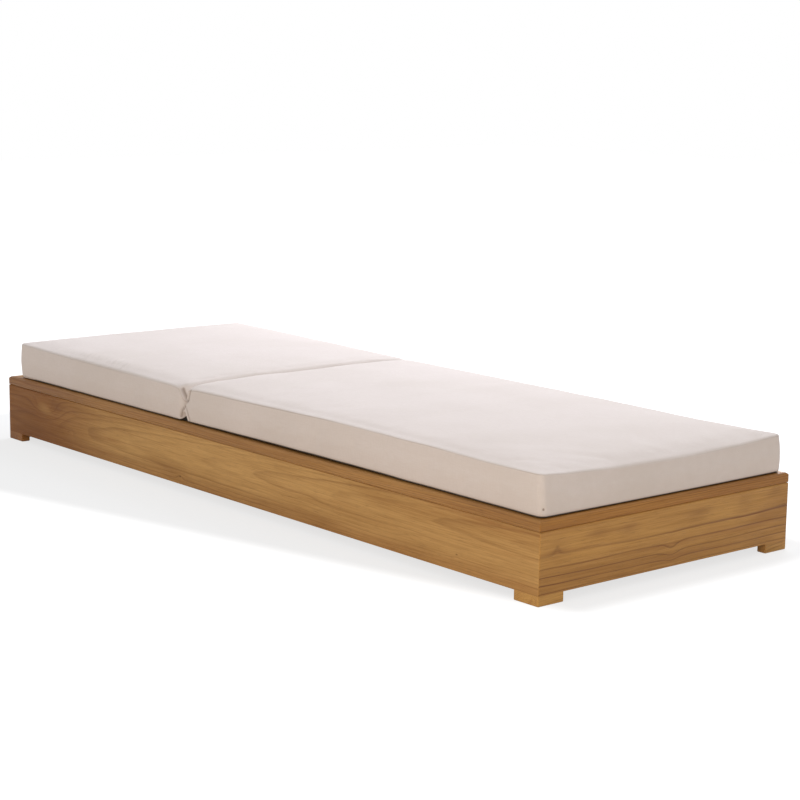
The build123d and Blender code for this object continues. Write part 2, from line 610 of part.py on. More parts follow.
def make_cushion():
    """Covers with their foam for the seat and the back, the sewn fold between them and the zip."""
    spans = {
        "seat": (HINGE_X + FOLD_HALF_LENGTH, CUSHION_FOOT_X),
        "back": (HINGE_X - FOLD_HALF_LENGTH, -CUSHION_HEAD_X),
    }
    for name, (fold_x, end_x) in spans.items():
        outer = cushion_part(fold_x, end_x, 0)
        lining = cushion_part(fold_x, end_x, COVER_THICKNESS)
        parts[name + "_cushion_cover"] = outer - lining
        parts[name + "_cushion_foam"] = cushion_part(fold_x, end_x, COVER_THICKNESS + SOFT_GAP)
    parts["cushion_fold"] = cushion_fold()
    face = -CUSHION_HEAD_X - SOFT_GAP
    middle = (CUSHION_BOTTOM + CUSHION_SEAM) / 2
    half = ZIP_LENGTH / 2
    slider_y = half - ZIP_SLIDER_LENGTH
    slider_front = face - ZIP_SLIDER_DEPTH

    def plate(front, back, y, length, height):
        zs = (middle - height / 2, middle + height / 2)
        return block((front, back), (y - length / 2, y + length / 2), zs)

    tape = plate(face - ZIP_THICKNESS, face, 0, ZIP_LENGTH, ZIP_HEIGHT)
    coil = plate(face - 2 * ZIP_THICKNESS, face, 0, ZIP_LENGTH, ZIP_COIL_HEIGHT)
    slider = plate(slider_front, face, slider_y, ZIP_SLIDER_LENGTH, ZIP_SLIDER_HEIGHT)
    pull = plate(slider_front, slider_front + ZIP_PULL_THICKNESS, slider_y, ZIP_PULL_WIDTH, ZIP_PULL_LENGTH)
    parts["cushion_zip"] = (tape + coil + slider + Pos(0, 0, -ZIP_PULL_LENGTH / 2) * pull).clean()


def write_parts():
    """One file per sub-part; a list is a group of separate solids."""
    os.makedirs("parts", exist_ok=True)
    for name, shape in parts.items():
        group = Compound(children=list(shape)) if isinstance(shape, list) else shape
        export_step(group, "parts/" + name + ".step")


make_frame()
make_feet()
make_seat_deck()
make_back_panel()
make_head_cleat()
make_pivots()
make_racks()
make_prop()
make_cushion()
write_parts()
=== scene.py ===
import json
import math

import bmesh
import bpy
import numpy as np
from mathutils import Matrix, Vector


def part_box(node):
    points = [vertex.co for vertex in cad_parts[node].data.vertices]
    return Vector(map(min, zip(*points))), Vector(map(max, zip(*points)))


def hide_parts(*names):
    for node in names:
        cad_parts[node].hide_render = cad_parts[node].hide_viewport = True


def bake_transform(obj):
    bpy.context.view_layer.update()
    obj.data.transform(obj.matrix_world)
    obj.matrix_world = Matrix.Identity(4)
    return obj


# A low teak chaise lounger with one long folding cushion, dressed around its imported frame.
# Everything is in metres in the frame's own axes: +X to the foot end, +Y to the far side, +Z up.

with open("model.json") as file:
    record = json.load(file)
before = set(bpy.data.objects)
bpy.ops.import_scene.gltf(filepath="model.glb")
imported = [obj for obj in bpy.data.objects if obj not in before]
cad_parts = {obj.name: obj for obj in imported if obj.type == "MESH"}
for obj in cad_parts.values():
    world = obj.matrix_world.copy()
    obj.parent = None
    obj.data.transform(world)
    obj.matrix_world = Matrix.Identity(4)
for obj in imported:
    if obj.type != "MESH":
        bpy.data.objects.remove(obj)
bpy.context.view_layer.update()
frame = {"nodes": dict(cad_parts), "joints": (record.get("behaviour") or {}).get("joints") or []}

MM = 0.001
TOUCH = 1e-6
RIGHT_ANGLE = math.radians(90)
SHARP_ANGLE = math.radians(38)
COMMON_GLOSS = 0.35

# Where the photograph was taken from, and its lens
CAMERA_PLACE = (3.5858, -2.8928, 1.0455)
CAMERA_HEADING = 0.8687
CAMERA_DIP = 0.1784
CAMERA_ROLL = 0.0143
CAMERA_LENS = 88.16
CAMERA_REACH = 60

# Floor and light
FLOOR_HALF = 12
FLOOR_LIT = (0.84, 0.76, 0.66)
FLOOR_SEEN = (0.245, 0.26, 0.275)
# The painted shadow's grey: how bright the floor looks to the camera close round the lounger
SHADOW_PATCH_GREY = 0.725
# The painted shadow's edges on the floor, each as its direction in x and y and how far out it runs
SHADOW_PATCH_EDGES = (
    (0.231, -0.973, 0.54),
    (1, 0, 1.055),
    (-1, 0, 1.31),
    (-0.481, -0.877, 0.88),
    (0, 1, 0.42),
)
SHADOW_PATCH_FADE = 0.09
SKY_COLOUR = (1.0, 0.985, 0.975)
SKY_STRENGTH = 0.46
KEY_PLACE = (0.6, 1.3, 2.4)
KEY_TARGET = (0, 0, 0.2)
KEY_SIZE = (1.1, 0.9)
KEY_POWER = 11
KEY_COLOUR = (1.0, 0.975, 0.975)
REAR_PLACE = (-1.6, 2.4, 1.6)
REAR_TARGET = (-0.7, 0, 0.2)
REAR_SIZE = (2.6, 1.2)
REAR_POWER = 78
REAR_COLOUR = (0.98, 0.955, 1.0)
FILL_PLACE = (2.5, -3.18, 1.4)
FILL_TARGET = (0.1, 0, 0.15)
FILL_SIZE = (2.4, 1.6)
FILL_POWER = 39
FILL_COLOUR = (1.0, 0.81, 0.62)

HINGE = Vector(frame["joints"][0]["pos_m"])


# Camera, floor and light

def make_camera():
    """The photograph's viewpoint."""
    data = bpy.data.cameras.new("photo_camera")
    data.lens = CAMERA_LENS
    data.clip_end = CAMERA_REACH
    camera = bpy.data.objects.new("photo_camera", data)
    turn = Matrix.Rotation(CAMERA_HEADING, 4, "Z")
    turn = turn @ Matrix.Rotation(RIGHT_ANGLE - CAMERA_DIP, 4, "X")
    turn = turn @ Matrix.Rotation(CAMERA_ROLL, 4, "Z")
    camera.matrix_world = Matrix.Translation(CAMERA_PLACE) @ turn
    bpy.context.scene.collection.objects.link(camera)
    bpy.context.scene.camera = camera


def worked_out(nodes, links, operation, *values):
    """One Math node's result from numbers and other nodes' outputs."""
    node = nodes.new("ShaderNodeMath")
    node.operation = operation
    for socket, value in zip(node.inputs, values):
        if isinstance(value, bpy.types.NodeSocket):
            links.new(value, socket)
        else:
            socket.default_value = value
    return node.outputs[0]


def seen_share(nodes, links):
    """1 for what the camera or a reflection sees, and 0 for the light that falls on things."""
    path = nodes.new("ShaderNodeLightPath").outputs
    return worked_out(nodes, links, "MAXIMUM", path["Is Camera Ray"], path["Is Glossy Ray"])


def floor_glow_and_painted_shadow(nodes, links):
    """How white the floor looks without light on it: a pale grey painted shadow round the lounger, white
    farther off.
    """
    place = nodes.new("ShaderNodeTexCoord").outputs["Object"]
    beyond = 0
    for across, along, edge in SHADOW_PATCH_EDGES:
        reach = nodes.new("ShaderNodeVectorMath")
        reach.operation = "DOT_PRODUCT"
        links.new(place, reach.inputs[0])
        reach.inputs[1].default_value = (across, along, 0)
        past = worked_out(nodes, links, "SUBTRACT", reach.outputs["Value"], edge)
        past = worked_out(nodes, links, "MAXIMUM", past, 0)
        beyond = worked_out(nodes, links, "MULTIPLY_ADD", past, past, beyond)
    fade = nodes.new("ShaderNodeMapRange")
    fade.interpolation_type = "SMOOTHSTEP"
    links.new(worked_out(nodes, links, "SQRT", beyond), fade.inputs["Value"])
    for socket, value in (("From Min", 0), ("From Max", SHADOW_PATCH_FADE), ("To Min", SHADOW_PATCH_GREY), ("To Max", 1)):
        fade.inputs[socket].default_value = value
    return fade.outputs[0]


def make_floor():
    """A wide plain floor that keeps the lounger's shadow, with a pale grey painted shadow round the lounger.
    """
    mesh = bmesh.new()
    bmesh.ops.create_grid(mesh, x_segments=1, y_segments=1, size=FLOOR_HALF)
    floor = new_piece("studio_floor", mesh)
    material = bpy.data.materials.new("floor_white")
    material.use_nodes = True
    nodes = material.node_tree.nodes
    links = material.node_tree.links
    nodes.clear()
    output = nodes.new("ShaderNodeOutputMaterial")
    mix = nodes.new("ShaderNodeMixShader")
    links.new(seen_share(nodes, links), mix.inputs[0])
    matt = nodes.new("ShaderNodeBsdfDiffuse")
    matt.inputs["Color"].default_value = (*FLOOR_LIT, 1)
    links.new(matt.outputs[0], mix.inputs[1])
    seen = nodes.new("ShaderNodeAddShader")
    shadow = nodes.new("ShaderNodeBsdfDiffuse")
    shadow.inputs["Color"].default_value = (*FLOOR_SEEN, 1)
    links.new(shadow.outputs[0], seen.inputs[0])
    glow = nodes.new("ShaderNodeEmission")
    links.new(floor_glow_and_painted_shadow(nodes, links), glow.inputs["Strength"])
    links.new(glow.outputs[0], seen.inputs[1])
    links.new(seen.outputs[0], mix.inputs[2])
    links.new(mix.outputs[0], output.inputs[0])
    floor.data.materials.append(material)


def add_softbox(name, place, target, size, power, colour):
    """A soft lamp that faces a point."""
    data = bpy.data.lights.new(name, "AREA")
    data.shape = "RECTANGLE"
    data.size, data.size_y = size
    data.energy = power
    data.color = colour
    lamp = bpy.data.objects.new(name, data)
    facing = (Vector(target) - Vector(place)).to_track_quat("-Z", "Y").to_matrix().to_4x4()
    lamp.matrix_world = Matrix.Translation(place) @ facing
    bpy.context.scene.collection.objects.link(lamp)


def make_light():
    """A white surround, a softbox above, a long one behind the head, and a warm fill in front."""
    world = bpy.data.worlds.new("studio")
    world.use_nodes = True
    nodes = world.node_tree.nodes
    links = world.node_tree.links
    nodes.clear()
    output = nodes.new("ShaderNodeOutputWorld")
    mix = nodes.new("ShaderNodeMixShader")
    links.new(seen_share(nodes, links), mix.inputs[0])
    pairs = ((mix.inputs[1], SKY_COLOUR, SKY_STRENGTH), (mix.inputs[2], (1, 1, 1), 1))
    for socket, colour, strength in pairs:
        glow = nodes.new("ShaderNodeBackground")
        glow.inputs["Color"].default_value = (*colour, 1)
        glow.inputs["Strength"].default_value = strength
        links.new(glow.outputs[0], socket)
    links.new(mix.outputs[0], output.inputs[0])
    bpy.context.scene.world = world
    bpy.context.scene.view_settings.view_transform = "Standard"
    add_softbox("key_softbox", KEY_PLACE, KEY_TARGET, KEY_SIZE, KEY_POWER, KEY_COLOUR)
    add_softbox("rear_softbox", REAR_PLACE, REAR_TARGET, REAR_SIZE, REAR_POWER, REAR_COLOUR)
    add_softbox("front_fill", FILL_PLACE, FILL_TARGET, FILL_SIZE, FILL_POWER, FILL_COLOUR)


# Tools for pieces

def new_piece(name, mesh):
    """Turns a finished bmesh into an object at the origin, smooth except at its sharp edges."""
    bmesh.ops.recalc_face_normals(mesh, faces=mesh.faces)
    for face in mesh.faces:
        face.smooth = True
    for edge in mesh.edges:
        if edge.calc_face_angle(0) > SHARP_ANGLE:
            edge.smooth = False
    data = bpy.data.meshes.new(name)
    mesh.to_mesh(data)
    mesh.free()
    piece = bpy.data.objects.new(name, data)
    bpy.context.scene.collection.objects.link(piece)
    return piece


def dress(node, material):
    """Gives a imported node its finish."""
    slots = frame["nodes"][node].data.materials
    slots.clear()
    slots.append(material)


class Paint:
    """One material and the nodes that colour it."""

    def __init__(self, name, roughness=0.6, sheen=0.0, metallic=0.0):
        self.material = bpy.data.materials.new(name)
        self.material.use_nodes = True
        self.nodes = self.material.node_tree.nodes
        self.links = self.material.node_tree.links
        self.shader = self.nodes["Principled BSDF"]
        self.shader.inputs["Roughness"].default_value = roughness
        self.shader.inputs["Sheen Weight"].default_value = sheen
        self.shader.inputs["Metallic"].default_value = metallic
        self.shader.inputs["Specular IOR Level"].default_value = COMMON_GLOSS

    def put(self, socket, value):
        """Links a socket to another node's output, or sets it."""
        if isinstance(value, bpy.types.NodeSocket):
            self.links.new(value, socket)
        else:
            socket.default_value = value

    def node(self, kind, settings=None, **inputs):
        """A node with its settings and its inputs by name."""
        node = self.nodes.new(kind)
        for key, value in (settings or {}).items():
            setattr(node, key, value)
        for key, value in inputs.items():
            self.put(node.inputs[key], value)
        return node

    def math(self, operation, *values):
        """One Math node's result."""
        return worked_out(self.nodes, self.links, operation, *values)

    def place(self):
        """Where a point is on the object."""
        return self.node("ShaderNodeTexCoord").outputs["Object"]

    def attribute(self, name, output="Fac"):
        """What the piece's own mesh says at a point."""
        return self.node("ShaderNodeAttribute", {"attribute_name": name}).outputs[output]

    def split(self, vector):
        """The three parts of a vector."""
        return self.node("ShaderNodeSeparateXYZ", Vector=vector).outputs

    def join(self, x, y, z):
        """A vector from three parts."""
        return self.node("ShaderNodeCombineXYZ", X=x, Y=y, Z=z).outputs[0]

    def scaled(self, vector, scale, offset=(0, 0, 0)):
        """A vector stretched along each axis and shifted."""
        node = self.node("ShaderNodeMapping", Vector=vector, Scale=scale, Location=offset)
        return node.outputs[0]

    def noise(self, vector, scale=1.0, detail=2.0, rough=0.5, distortion=0.0):
        """A cloud value from 0 to 1."""
        node = self.node("ShaderNodeTexNoise", None, Vector=vector, Scale=scale, Detail=detail)
        node.inputs["Roughness"].default_value = rough
        node.inputs["Distortion"].default_value = distortion
        return node.outputs["Fac"]

    def ramp(self, value, low, high, to_low=0.0, to_high=1.0):
        """A value mapped smoothly from one range to another, held at the ends."""
        node = self.nodes.new("ShaderNodeMapRange")
        node.interpolation_type = "SMOOTHSTEP"
        for key, number in (("Value", value), ("From Min", low), ("From Max", high)):
            self.put(node.inputs[key], number)
        self.put(node.inputs["To Min"], to_low)
        self.put(node.inputs["To Max"], to_high)
        return node.outputs[0]

    def blend(self, share, first, second, mode="MIX"):
        """Two colours mixed by a share."""
        node = self.nodes.new("ShaderNodeMix")
        node.data_type = "RGBA"
        node.blend_type = mode
        self.put(node.inputs[0], share)
        for socket, value in ((node.inputs[6], first), (node.inputs[7], second)):
            self.put(socket, value if isinstance(value, bpy.types.NodeSocket) else (*value, 1))
        return node.outputs[2]

    def grey(self, value):
        """A grey of a given level, to multiply a colour by."""
        return self.node("ShaderNodeCombineColor", Red=value, Green=value, Blue=value).outputs[0]

    def colour(self, value):
        """Sets the surface colour."""
        socket = self.shader.inputs["Base Color"]
        self.put(socket, value if isinstance(value, bpy.types.NodeSocket) else (*value, 1))

    def rough(self, value):
        """Links the roughness."""
        self.put(self.shader.inputs["Roughness"], value)

    def bump(self, height, distance, strength=1.0):
        """Adds relief from a height value."""
        node = self.node("ShaderNodeBump", Height=height, Distance=distance, Strength=strength)
        self.put(self.shader.inputs["Normal"], node.outputs[0])


# Teak

TEAK_LIGHT = (0.60, 0.350, 0.104)
TEAK_MID = (0.48, 0.256, 0.068)
TEAK_DARK = (0.200, 0.082, 0.021)
TEAK_RED = (0.315, 0.125, 0.031)
# Multiplied in to darken a board's lower edge, and as painted shade on its head end
TEAK_SHADE = (0.37, 0.16, 0.02)
KNOT_DARK = (0.085, 0.034, 0.012)
AXES = {"x": 0, "y": 1, "z": 2}

# How the wood's clouds are stretched along the grain, across it and into the board
SWAY_STRETCH = (1.1, 4.0, 4.0)
LEAN_STRETCH = (0.9, 5.0, 5.0)
RING_STRETCH = (5.0, 30.0, 30.0)
STRENGTH_STRETCH = (1.6, 12.0, 12.0)
FIBRE_STRETCH = (9.0, 420.0, 420.0)
STREAK_STRETCH = (2.2, 70.0, 70.0)
PATCH_STRETCH = (1.3, 9.0, 9.0)
PORE_STRETCH = (34.0, 1300.0, 1300.0)
SWAY = 34 * MM
LEAN_SWAY = 26 * MM
LOWER_EDGE = (-0.062, -0.02)
# Where the painted shade on a board's head end runs, along the board
HEAD_END_SHADE = (-0.85, -0.40)
WOOD_RELIEF = 0.25 * MM


def pith_distance(paint, places, cloud, pith, lean, wander):
    """How far a point is from the log's heart, which leans and sways along the board."""
    along, across, inward = places
    aside = (paint.math("SUBTRACT", across, pith[0]), lean[0], cloud(SWAY_STRETCH), SWAY * wander)
    behind = (paint.math("ADD", inward, pith[1]), lean[1], cloud(LEAN_STRETCH, 1.0), LEAN_SWAY * wander)
    squares = []
    for offset, drift, swayed, amount in (aside, behind):
        leaned = paint.math("MULTIPLY_ADD", along, -drift, offset)
        off = paint.math("ADD", leaned, paint.math("MULTIPLY_ADD", swayed, amount, -amount / 2))
        squares.append(paint.math("MULTIPLY", off, off))
    return paint.math("SQRT", paint.math("ADD", *squares))


def marked(paint, along, across, distance, marks):
    """The distance as knots push it, how far a point is in a knot's heart, and the smudges' stain."""
    eye = 0.0
    stain = 0.0
    for mark in marks:
        x = paint.math("MULTIPLY", paint.math("SUBTRACT", along, mark[0]), 1 / mark[2])
        z = paint.math("MULTIPLY", paint.math("SUBTRACT", across, mark[1]), 1 / mark[3])
        near = paint.math("MULTIPLY_ADD", x, x, paint.math("MULTIPLY", z, z))
        swell = paint.math("POWER", math.e, paint.math("MULTIPLY", near, -0.7))
        if len(mark) == 5:
            stain = paint.math("MULTIPLY_ADD", swell, mark[4], stain)
        else:
            distance = paint.math("MULTIPLY_ADD", swell, mark[4], distance)
            eye = paint.math("MAXIMUM", eye, paint.ramp(near, 0.0, 0.12, mark[5], 0.0))
    return distance, eye, stain


def late_wood(paint, cloud, distance, ring, seed, wander, early):
    """The dark end of each year ring, fainter in some years and in some places."""
    count = paint.math("MULTIPLY", distance, 1 / ring)
    count = paint.math("MULTIPLY_ADD", cloud(RING_STRETCH), 0.3 + 0.6 * wander, count)
    year = paint.math("FRACT", count)
    late = paint.math("MULTIPLY", paint.ramp(year, early, 0.9), paint.ramp(year, 0.92, 0.99, 1.0, 0.0))
    year_place = paint.join(paint.math("FLOOR", count), seed, 0.5)
    late = paint.math("MULTIPLY", late, paint.ramp(paint.noise(year_place, 1.7, 0.0), 0.36, 0.62, early, 1.0))
    return paint.math("MULTIPLY", late, paint.ramp(cloud(STRENGTH_STRETCH), 0.3, 0.7, 0.4, 1.0))


def teak(name, order, centre, pith=(0.0, 0.085), lean=(0.0, 0.012), ring=4.2 * MM, seed=0.0,
         contrast=1.0, tone=(1.0, 1.0, 1.0), knots=(), smudges=(), low=0.0, end=0.0, wander=1.0, early=0.3,
         gloss=COMMON_GLOSS):
    """Sawn teak. order names the axes along the grain, across the face and into the board; pith is
    where the log's heart lies from the board's middle, across and inwards; lean is how far it
    drifts over a metre of length, and wander how much it sways. Knots bend the year rings round
    them: (along, across, length, height, push, dark). Smudges only stain: (along, across, length,
    height, dark). low darkens the board's lower edge, end is painted shade on its head end, early
    is the share of a year ring before its dark line begins, and gloss is how much the bare face shines."""
    paint = Paint(name, roughness=0.5)
    paint.shader.inputs["Specular IOR Level"].default_value = gloss
    split = paint.split(paint.place())
    along, across, inward = [
        paint.math("SUBTRACT", split[AXES[axis]], centre[AXES[axis]]) for axis in order
    ]
    grain = paint.join(along, across, inward)

    def cloud(stretch, detail=2.0, rough=0.5, distortion=0.0):
        shift = (seed * 3.7 + stretch[0], seed * 1.3, seed * 2.1)
        return paint.noise(paint.scaled(grain, stretch, shift), 1.0, detail, rough, distortion)

    distance = pith_distance(paint, (along, across, inward), cloud, pith, lean, wander)
    distance, eye, stain = marked(paint, along, across, distance, knots + smudges)
    late = late_wood(paint, cloud, distance, ring, seed, wander, early)
    fibre = cloud(FIBRE_STRETCH, 3.0, 0.65)
    streak = cloud(STREAK_STRETCH, 3.0, 0.6)
    patch = cloud(PATCH_STRETCH, 3.0, 0.55, 0.6)
    pores = paint.ramp(cloud(PORE_STRETCH, 1.0), 0.62, 0.74)
    colour = paint.blend(paint.ramp(patch, 0.33, 0.68), TEAK_LIGHT, TEAK_MID)
    colour = paint.blend(paint.ramp(streak, 0.50, 0.80, 0.0, 0.55), colour, TEAK_RED)
    colour = paint.blend(paint.math("MULTIPLY", late, 0.62 * contrast), colour, TEAK_DARK)
    colour = paint.blend(paint.ramp(fibre, 0.35, 0.75, 0.0, 0.32), colour, TEAK_DARK)
    colour = paint.blend(paint.math("MULTIPLY", pores, 0.35), colour, KNOT_DARK)
    if low:
        colour = paint.blend(paint.ramp(across, *LOWER_EDGE, low, 0.0), colour, TEAK_SHADE, "MULTIPLY")
    # Painted shade: the head end is darkened where less light reaches it
    if end:
        colour = paint.blend(paint.ramp(along, *HEAD_END_SHADE, end, 0.0), colour, TEAK_SHADE, "MULTIPLY")
    if smudges:
        colour = paint.blend(paint.math("MULTIPLY", stain, -1.0), colour, TEAK_LIGHT)
        stain = paint.math("MULTIPLY", stain, paint.ramp(streak, 0.25, 0.7, 0.35, 1.0))
        colour = paint.blend(stain, colour, TEAK_DARK)
    if knots:
        colour = paint.blend(eye, colour, KNOT_DARK)
    bright = paint.grey(paint.ramp(patch, 0.2, 0.8, 1.06, 0.92))
    colour = paint.blend(1.0, colour, bright, "MULTIPLY")
    paint.colour(paint.blend(1.0, colour, tone, "MULTIPLY"))
    paint.rough(paint.ramp(fibre, 0.2, 0.8, 0.42, 0.62))
    relief = paint.math("MULTIPLY_ADD", late, 0.4, paint.math("SUBTRACT", fibre, pores))
    paint.bump(relief, WOOD_RELIEF, 0.5)
    return paint.material


def middle(node):
    """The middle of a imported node's box."""
    low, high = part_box(node)
    return (low + high) / 2


# The frame's boards. A knot is its place along and across the board, its length and height, how far
# it pushes the year rings, and how dark its heart is. A smudge has no push, and below 0 it is pale.

APRON_KNOTS = (
    (-0.822, 0.028, 0.060, 0.022, 20 * MM, 0.0),
    (-0.710, -0.018, 0.020, 0.008, 5 * MM, 0.15),
    (-0.200, -0.044, 0.012, 0.007, 5 * MM, 0.85),
    (0.285, -0.012, 0.040, 0.014, 4 * MM, 0.0),
    (0.627, -0.018, 0.030, 0.010, 6 * MM, 0.1),
    (0.781, -0.028, 0.012, 0.006, 4 * MM, 0.5),
)
APRON_SMUDGES = (
    (-0.826, 0.024, 0.048, 0.014, -0.42),
    (-0.770, 0.036, 0.026, 0.013, 0.85),
    (-0.960, -0.050, 0.080, 0.022, 0.55),
    (-0.500, -0.045, 0.120, 0.012, 0.30),
    (-0.260, -0.030, 0.060, 0.014, 0.30),
    (0.100, -0.048, 0.200, 0.010, 0.25),
    (-0.930, 0.000, 0.090, 0.060, 0.35),
)
FOOT_END_KNOTS = (
    (0.004, -0.030, 0.020, 0.020, -5 * MM, 0.0),
    (-0.320, 0.028, 0.012, 0.012, 3 * MM, 0.15),
)
FOOT_END_SMUDGES = (
    (-0.206, 0.041, 0.026, 0.009, 0.40),
    (-0.124, 0.035, 0.022, 0.012, 0.42),
    (0.085, 0.036, 0.030, 0.012, 0.50),
    (0.228, 0.035, 0.022, 0.014, 0.45),
    (0.325, 0.048, 0.020, 0.008, 0.50),
    (-0.320, 0.022, 0.024, 0.020, 0.35),
    (-0.100, -0.010, 0.180, 0.010, 0.12),
)


def dress_boards():
    """Every board gets teak of its own, with its grain along its length."""
    # Each board's axes, pith, lean, year rings, contrast and tone, in teak's order
    boards = [
        ("apron_right", "xzy", (0.012, 0.080), (0.020, 0.022), 6.0 * MM, 0.7, (1.125, 1.20, 1.58)),
        ("apron_left", "xzy", (-0.020, 0.065), (0.030, 0.020), 5.6 * MM, 0.8, 1.0),
        ("apron_foot", "yzx", (0.045, 0.110), (0.0, 0.0), 8.6 * MM, 1.7, (0.96, 0.90, 0.84)),
        ("apron_head", "yzx", (-0.010, 0.070), (0.060, 0.030), 5.8 * MM, 0.8, 0.96),
        ("rim_right", "xzy", (0.060, 0.050), (0.010, 0.010), 3.8 * MM, 1.2, (0.82, 0.74, 0.71)),
        ("rim_left", "xzy", (-0.050, 0.040), (0.010, 0.010), 3.8 * MM, 0.5, 0.98),
        ("rim_foot", "yzx", (0.050, 0.060), (0.020, 0.010), 3.6 * MM, 1.2, (0.75, 0.60, 0.40)),
        ("rim_head", "yzx", (-0.040, 0.050), (0.020, 0.010), 3.6 * MM, 0.5, 0.98),
        ("foot_foot_right", "yxz", (0.010, 0.040), (0.080, 0.050), 3.8 * MM, 0.7, 1.12),
        ("foot_foot_left", "yxz", (-0.030, 0.050), (0.060, 0.050), 4.2 * MM, 0.7, 1.04),
        # foot_head_right's dark tone is painted shade: the leg is darkened all over, as it stands in shade at
        # the head end
        ("foot_head_right", "yxz", (0.030, 0.035), (0.050, 0.060), 4.0 * MM, 0.7, (0.60, 0.44, 0.30)),
        ("foot_head_left", "yxz", (-0.010, 0.045), (0.060, 0.050), 4.2 * MM, 0.7, 1.0),
        ("corner_blocks", "zxy", (0.020, 0.040), (0.020, 0.020), 3.4 * MM, 0.8, 0.95),
        ("cross_rail_hinge", "yzx", (0.020, 0.050), (0.020, 0.020), 3.8 * MM, 0.8, 0.97),
        ("cross_rail_middle", "yzx", (-0.020, 0.060), (0.020, 0.020), 4.0 * MM, 0.8, 0.96),
        ("back_rail_hinge", "yxz", (0.020, 0.050), (0.020, 0.020), 3.8 * MM, 0.8, 1.0),
        ("back_rail_head", "yxz", (-0.020, 0.060), (0.030, 0.020), 4.0 * MM, 0.8, 1.02),
        ("head_cleat", "yzx", (0.020, 0.050), (0.020, 0.020), 3.8 * MM, 0.8, 0.96),
        ("prop_bar", "yxz", (0.030, 0.040), (0.020, 0.020), 3.2 * MM, 0.7, 1.02),
    ]
    # The boards that show marks: knots, smudges, low, end, wander, early and gloss; end is painted shade on
    # the head end
    marks = {
        "apron_right": (APRON_KNOTS, APRON_SMUDGES, 0.37, 0.67, 0.8, 0.45, 0.12),
        "apron_foot": (FOOT_END_KNOTS, FOOT_END_SMUDGES, 0.1, 0.0, 0.28, 0.74),
        "rim_right": ((), (), 0.0, 0.25, 1.0, 0.4),
        "rim_foot": ((), (), 0.0, 0.0, 1.0, 0.4),
        "foot_head_right": ((), (), 0.0, 0.0, 1.0, 0.4),
    }
    pairs = ("ledge", "back_stile", "prop_arm", "prop_rack", "pivot_block")
    for count, kind in enumerate(pairs):
        for turn, side in enumerate(("right", "left")):
            pith = (0.02 - 0.03 * turn, 0.045 + 0.006 * count)
            order = "xyz" if kind in ("back_stile", "prop_arm") else "xzy"
            order = "zxy" if kind == "pivot_block" else order
            boards.append((f"{kind}_{side}", order, pith, (0.03, 0.02), 3.9 * MM, 0.8, 0.98))
    slats = [node for node in frame["nodes"] if "_slat_" in node]
    for count, node in enumerate(sorted(slats)):
        pith = (0.05 * math.sin(2.4 * count), 0.045 + 0.03 * math.sin(1.7 * count + 1))
        tone = 1.0 + 0.06 * math.sin(3.1 * count)
        boards.append((node, "yxz", pith, (0.05, 0.03), 4.2 * MM, 0.8, tone))
    for count, (node, order, pith, lean, ring, contrast, tone) in enumerate(boards):
        figure = marks.get(node, ((), (), 0.0, 0.0, 1.0, 0.3))
        tone = tone if isinstance(tone, tuple) else (tone, tone, tone)
        values = (pith, lean, ring, count + 1.5, contrast, tone)
        dress(node, teak(f"teak_{node}", order, middle(node), *values, *figure))


# Metal and nylon

STEEL_DARK = (0.52, 0.52, 0.51)
STEEL_PALE = (0.68, 0.68, 0.66)
STEEL_RELIEF = 0.02 * MM
NYLON_DARK = (0.72, 0.72, 0.69)
NYLON_PALE = (0.80, 0.80, 0.77)
NYLON_RELIEF = 0.03 * MM


def dress_metal():
    """Brushed stainless steel for the screws, bolts, brackets and pins."""
    paint = Paint("brushed_stainless_steel", roughness=0.3, metallic=1.0)
    place = paint.place()
    brushed = paint.noise(paint.scaled(place, (900, 900, 120)), 1.0, 2.0)
    smear = paint.noise(paint.scaled(place, (60, 60, 60)), 1.0, 3.0)
    paint.colour(paint.blend(smear, STEEL_DARK, STEEL_PALE))
    paint.rough(paint.ramp(brushed, 0.25, 0.75, 0.22, 0.42))
    paint.bump(brushed, STEEL_RELIEF, 0.4)
    screws = ("corner_screws", "foot_screws", "side_screws", "slat_screws")
    for node in screws + ("pivot_bolts", "prop_brackets", "prop_pins"):
        dress(node, paint.material)


def dress_nylon():
    """White moulded nylon for the pivot washers."""
    paint = Paint("moulded_nylon", roughness=0.45)
    place = paint.place()
    speck = paint.noise(paint.scaled(place, (700, 700, 700)), 1.0, 2.0)
    paint.colour(paint.blend(speck, NYLON_DARK, NYLON_PALE))
    paint.bump(speck, NYLON_RELIEF, 0.4)
    dress("pivot_washers", paint.material)


# The cushion: a long foam-filled cover, sewn through where the backrest folds

DECK_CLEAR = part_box("seat_cushion_cover")[0].z
CUSHION_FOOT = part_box("seat_cushion_cover")[1].x
CUSHION_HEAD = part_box("back_cushion_cover")[0].x
CUSHION_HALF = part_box("seat_cushion_cover")[1].y + 2 * MM
CUSHION_REACH = (CUSHION_FOOT - CUSHION_HEAD) / 2
CUSHION_MIDDLE = (CUSHION_FOOT + CUSHION_HEAD) / 2
FOLD_X = HINGE.x + 16 * MM
ZIP_LOW, ZIP_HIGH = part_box("cushion_zip")
RIM_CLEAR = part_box("rim_right")[1].z + 0.6 * MM
SEAM_HEIGHT = 85 * MM

# The cut cover's small squares: their usual size, and their sizes at its edges, seams and fold
CLOTH_GAP = 11 * MM
UP_GAP = 3.4 * MM
EDGE_GAP = 2.6 * MM
FOLD_GAP = 2.4 * MM
EDGE_REACH = 14 * MM
FOLD_REACH = 28 * MM
BASE_REACH = 7 * MM
SEAM_REACH = 4 * MM
FINE_STEPS = 4000

# Its plan: corners, sides drawn in between them, and ends that bow and lean
PLAN_ROUND = 12 * MM
PLAN_ROUND_LOW = 14 * MM
SIDE_DRAW_IN = 1.5 * MM
SIDE_RIPPLE = 1.0 * MM
END_RUN = 0.25
END_BOW = 1.5 * MM
FOOT_LEAN = 4.5 * MM

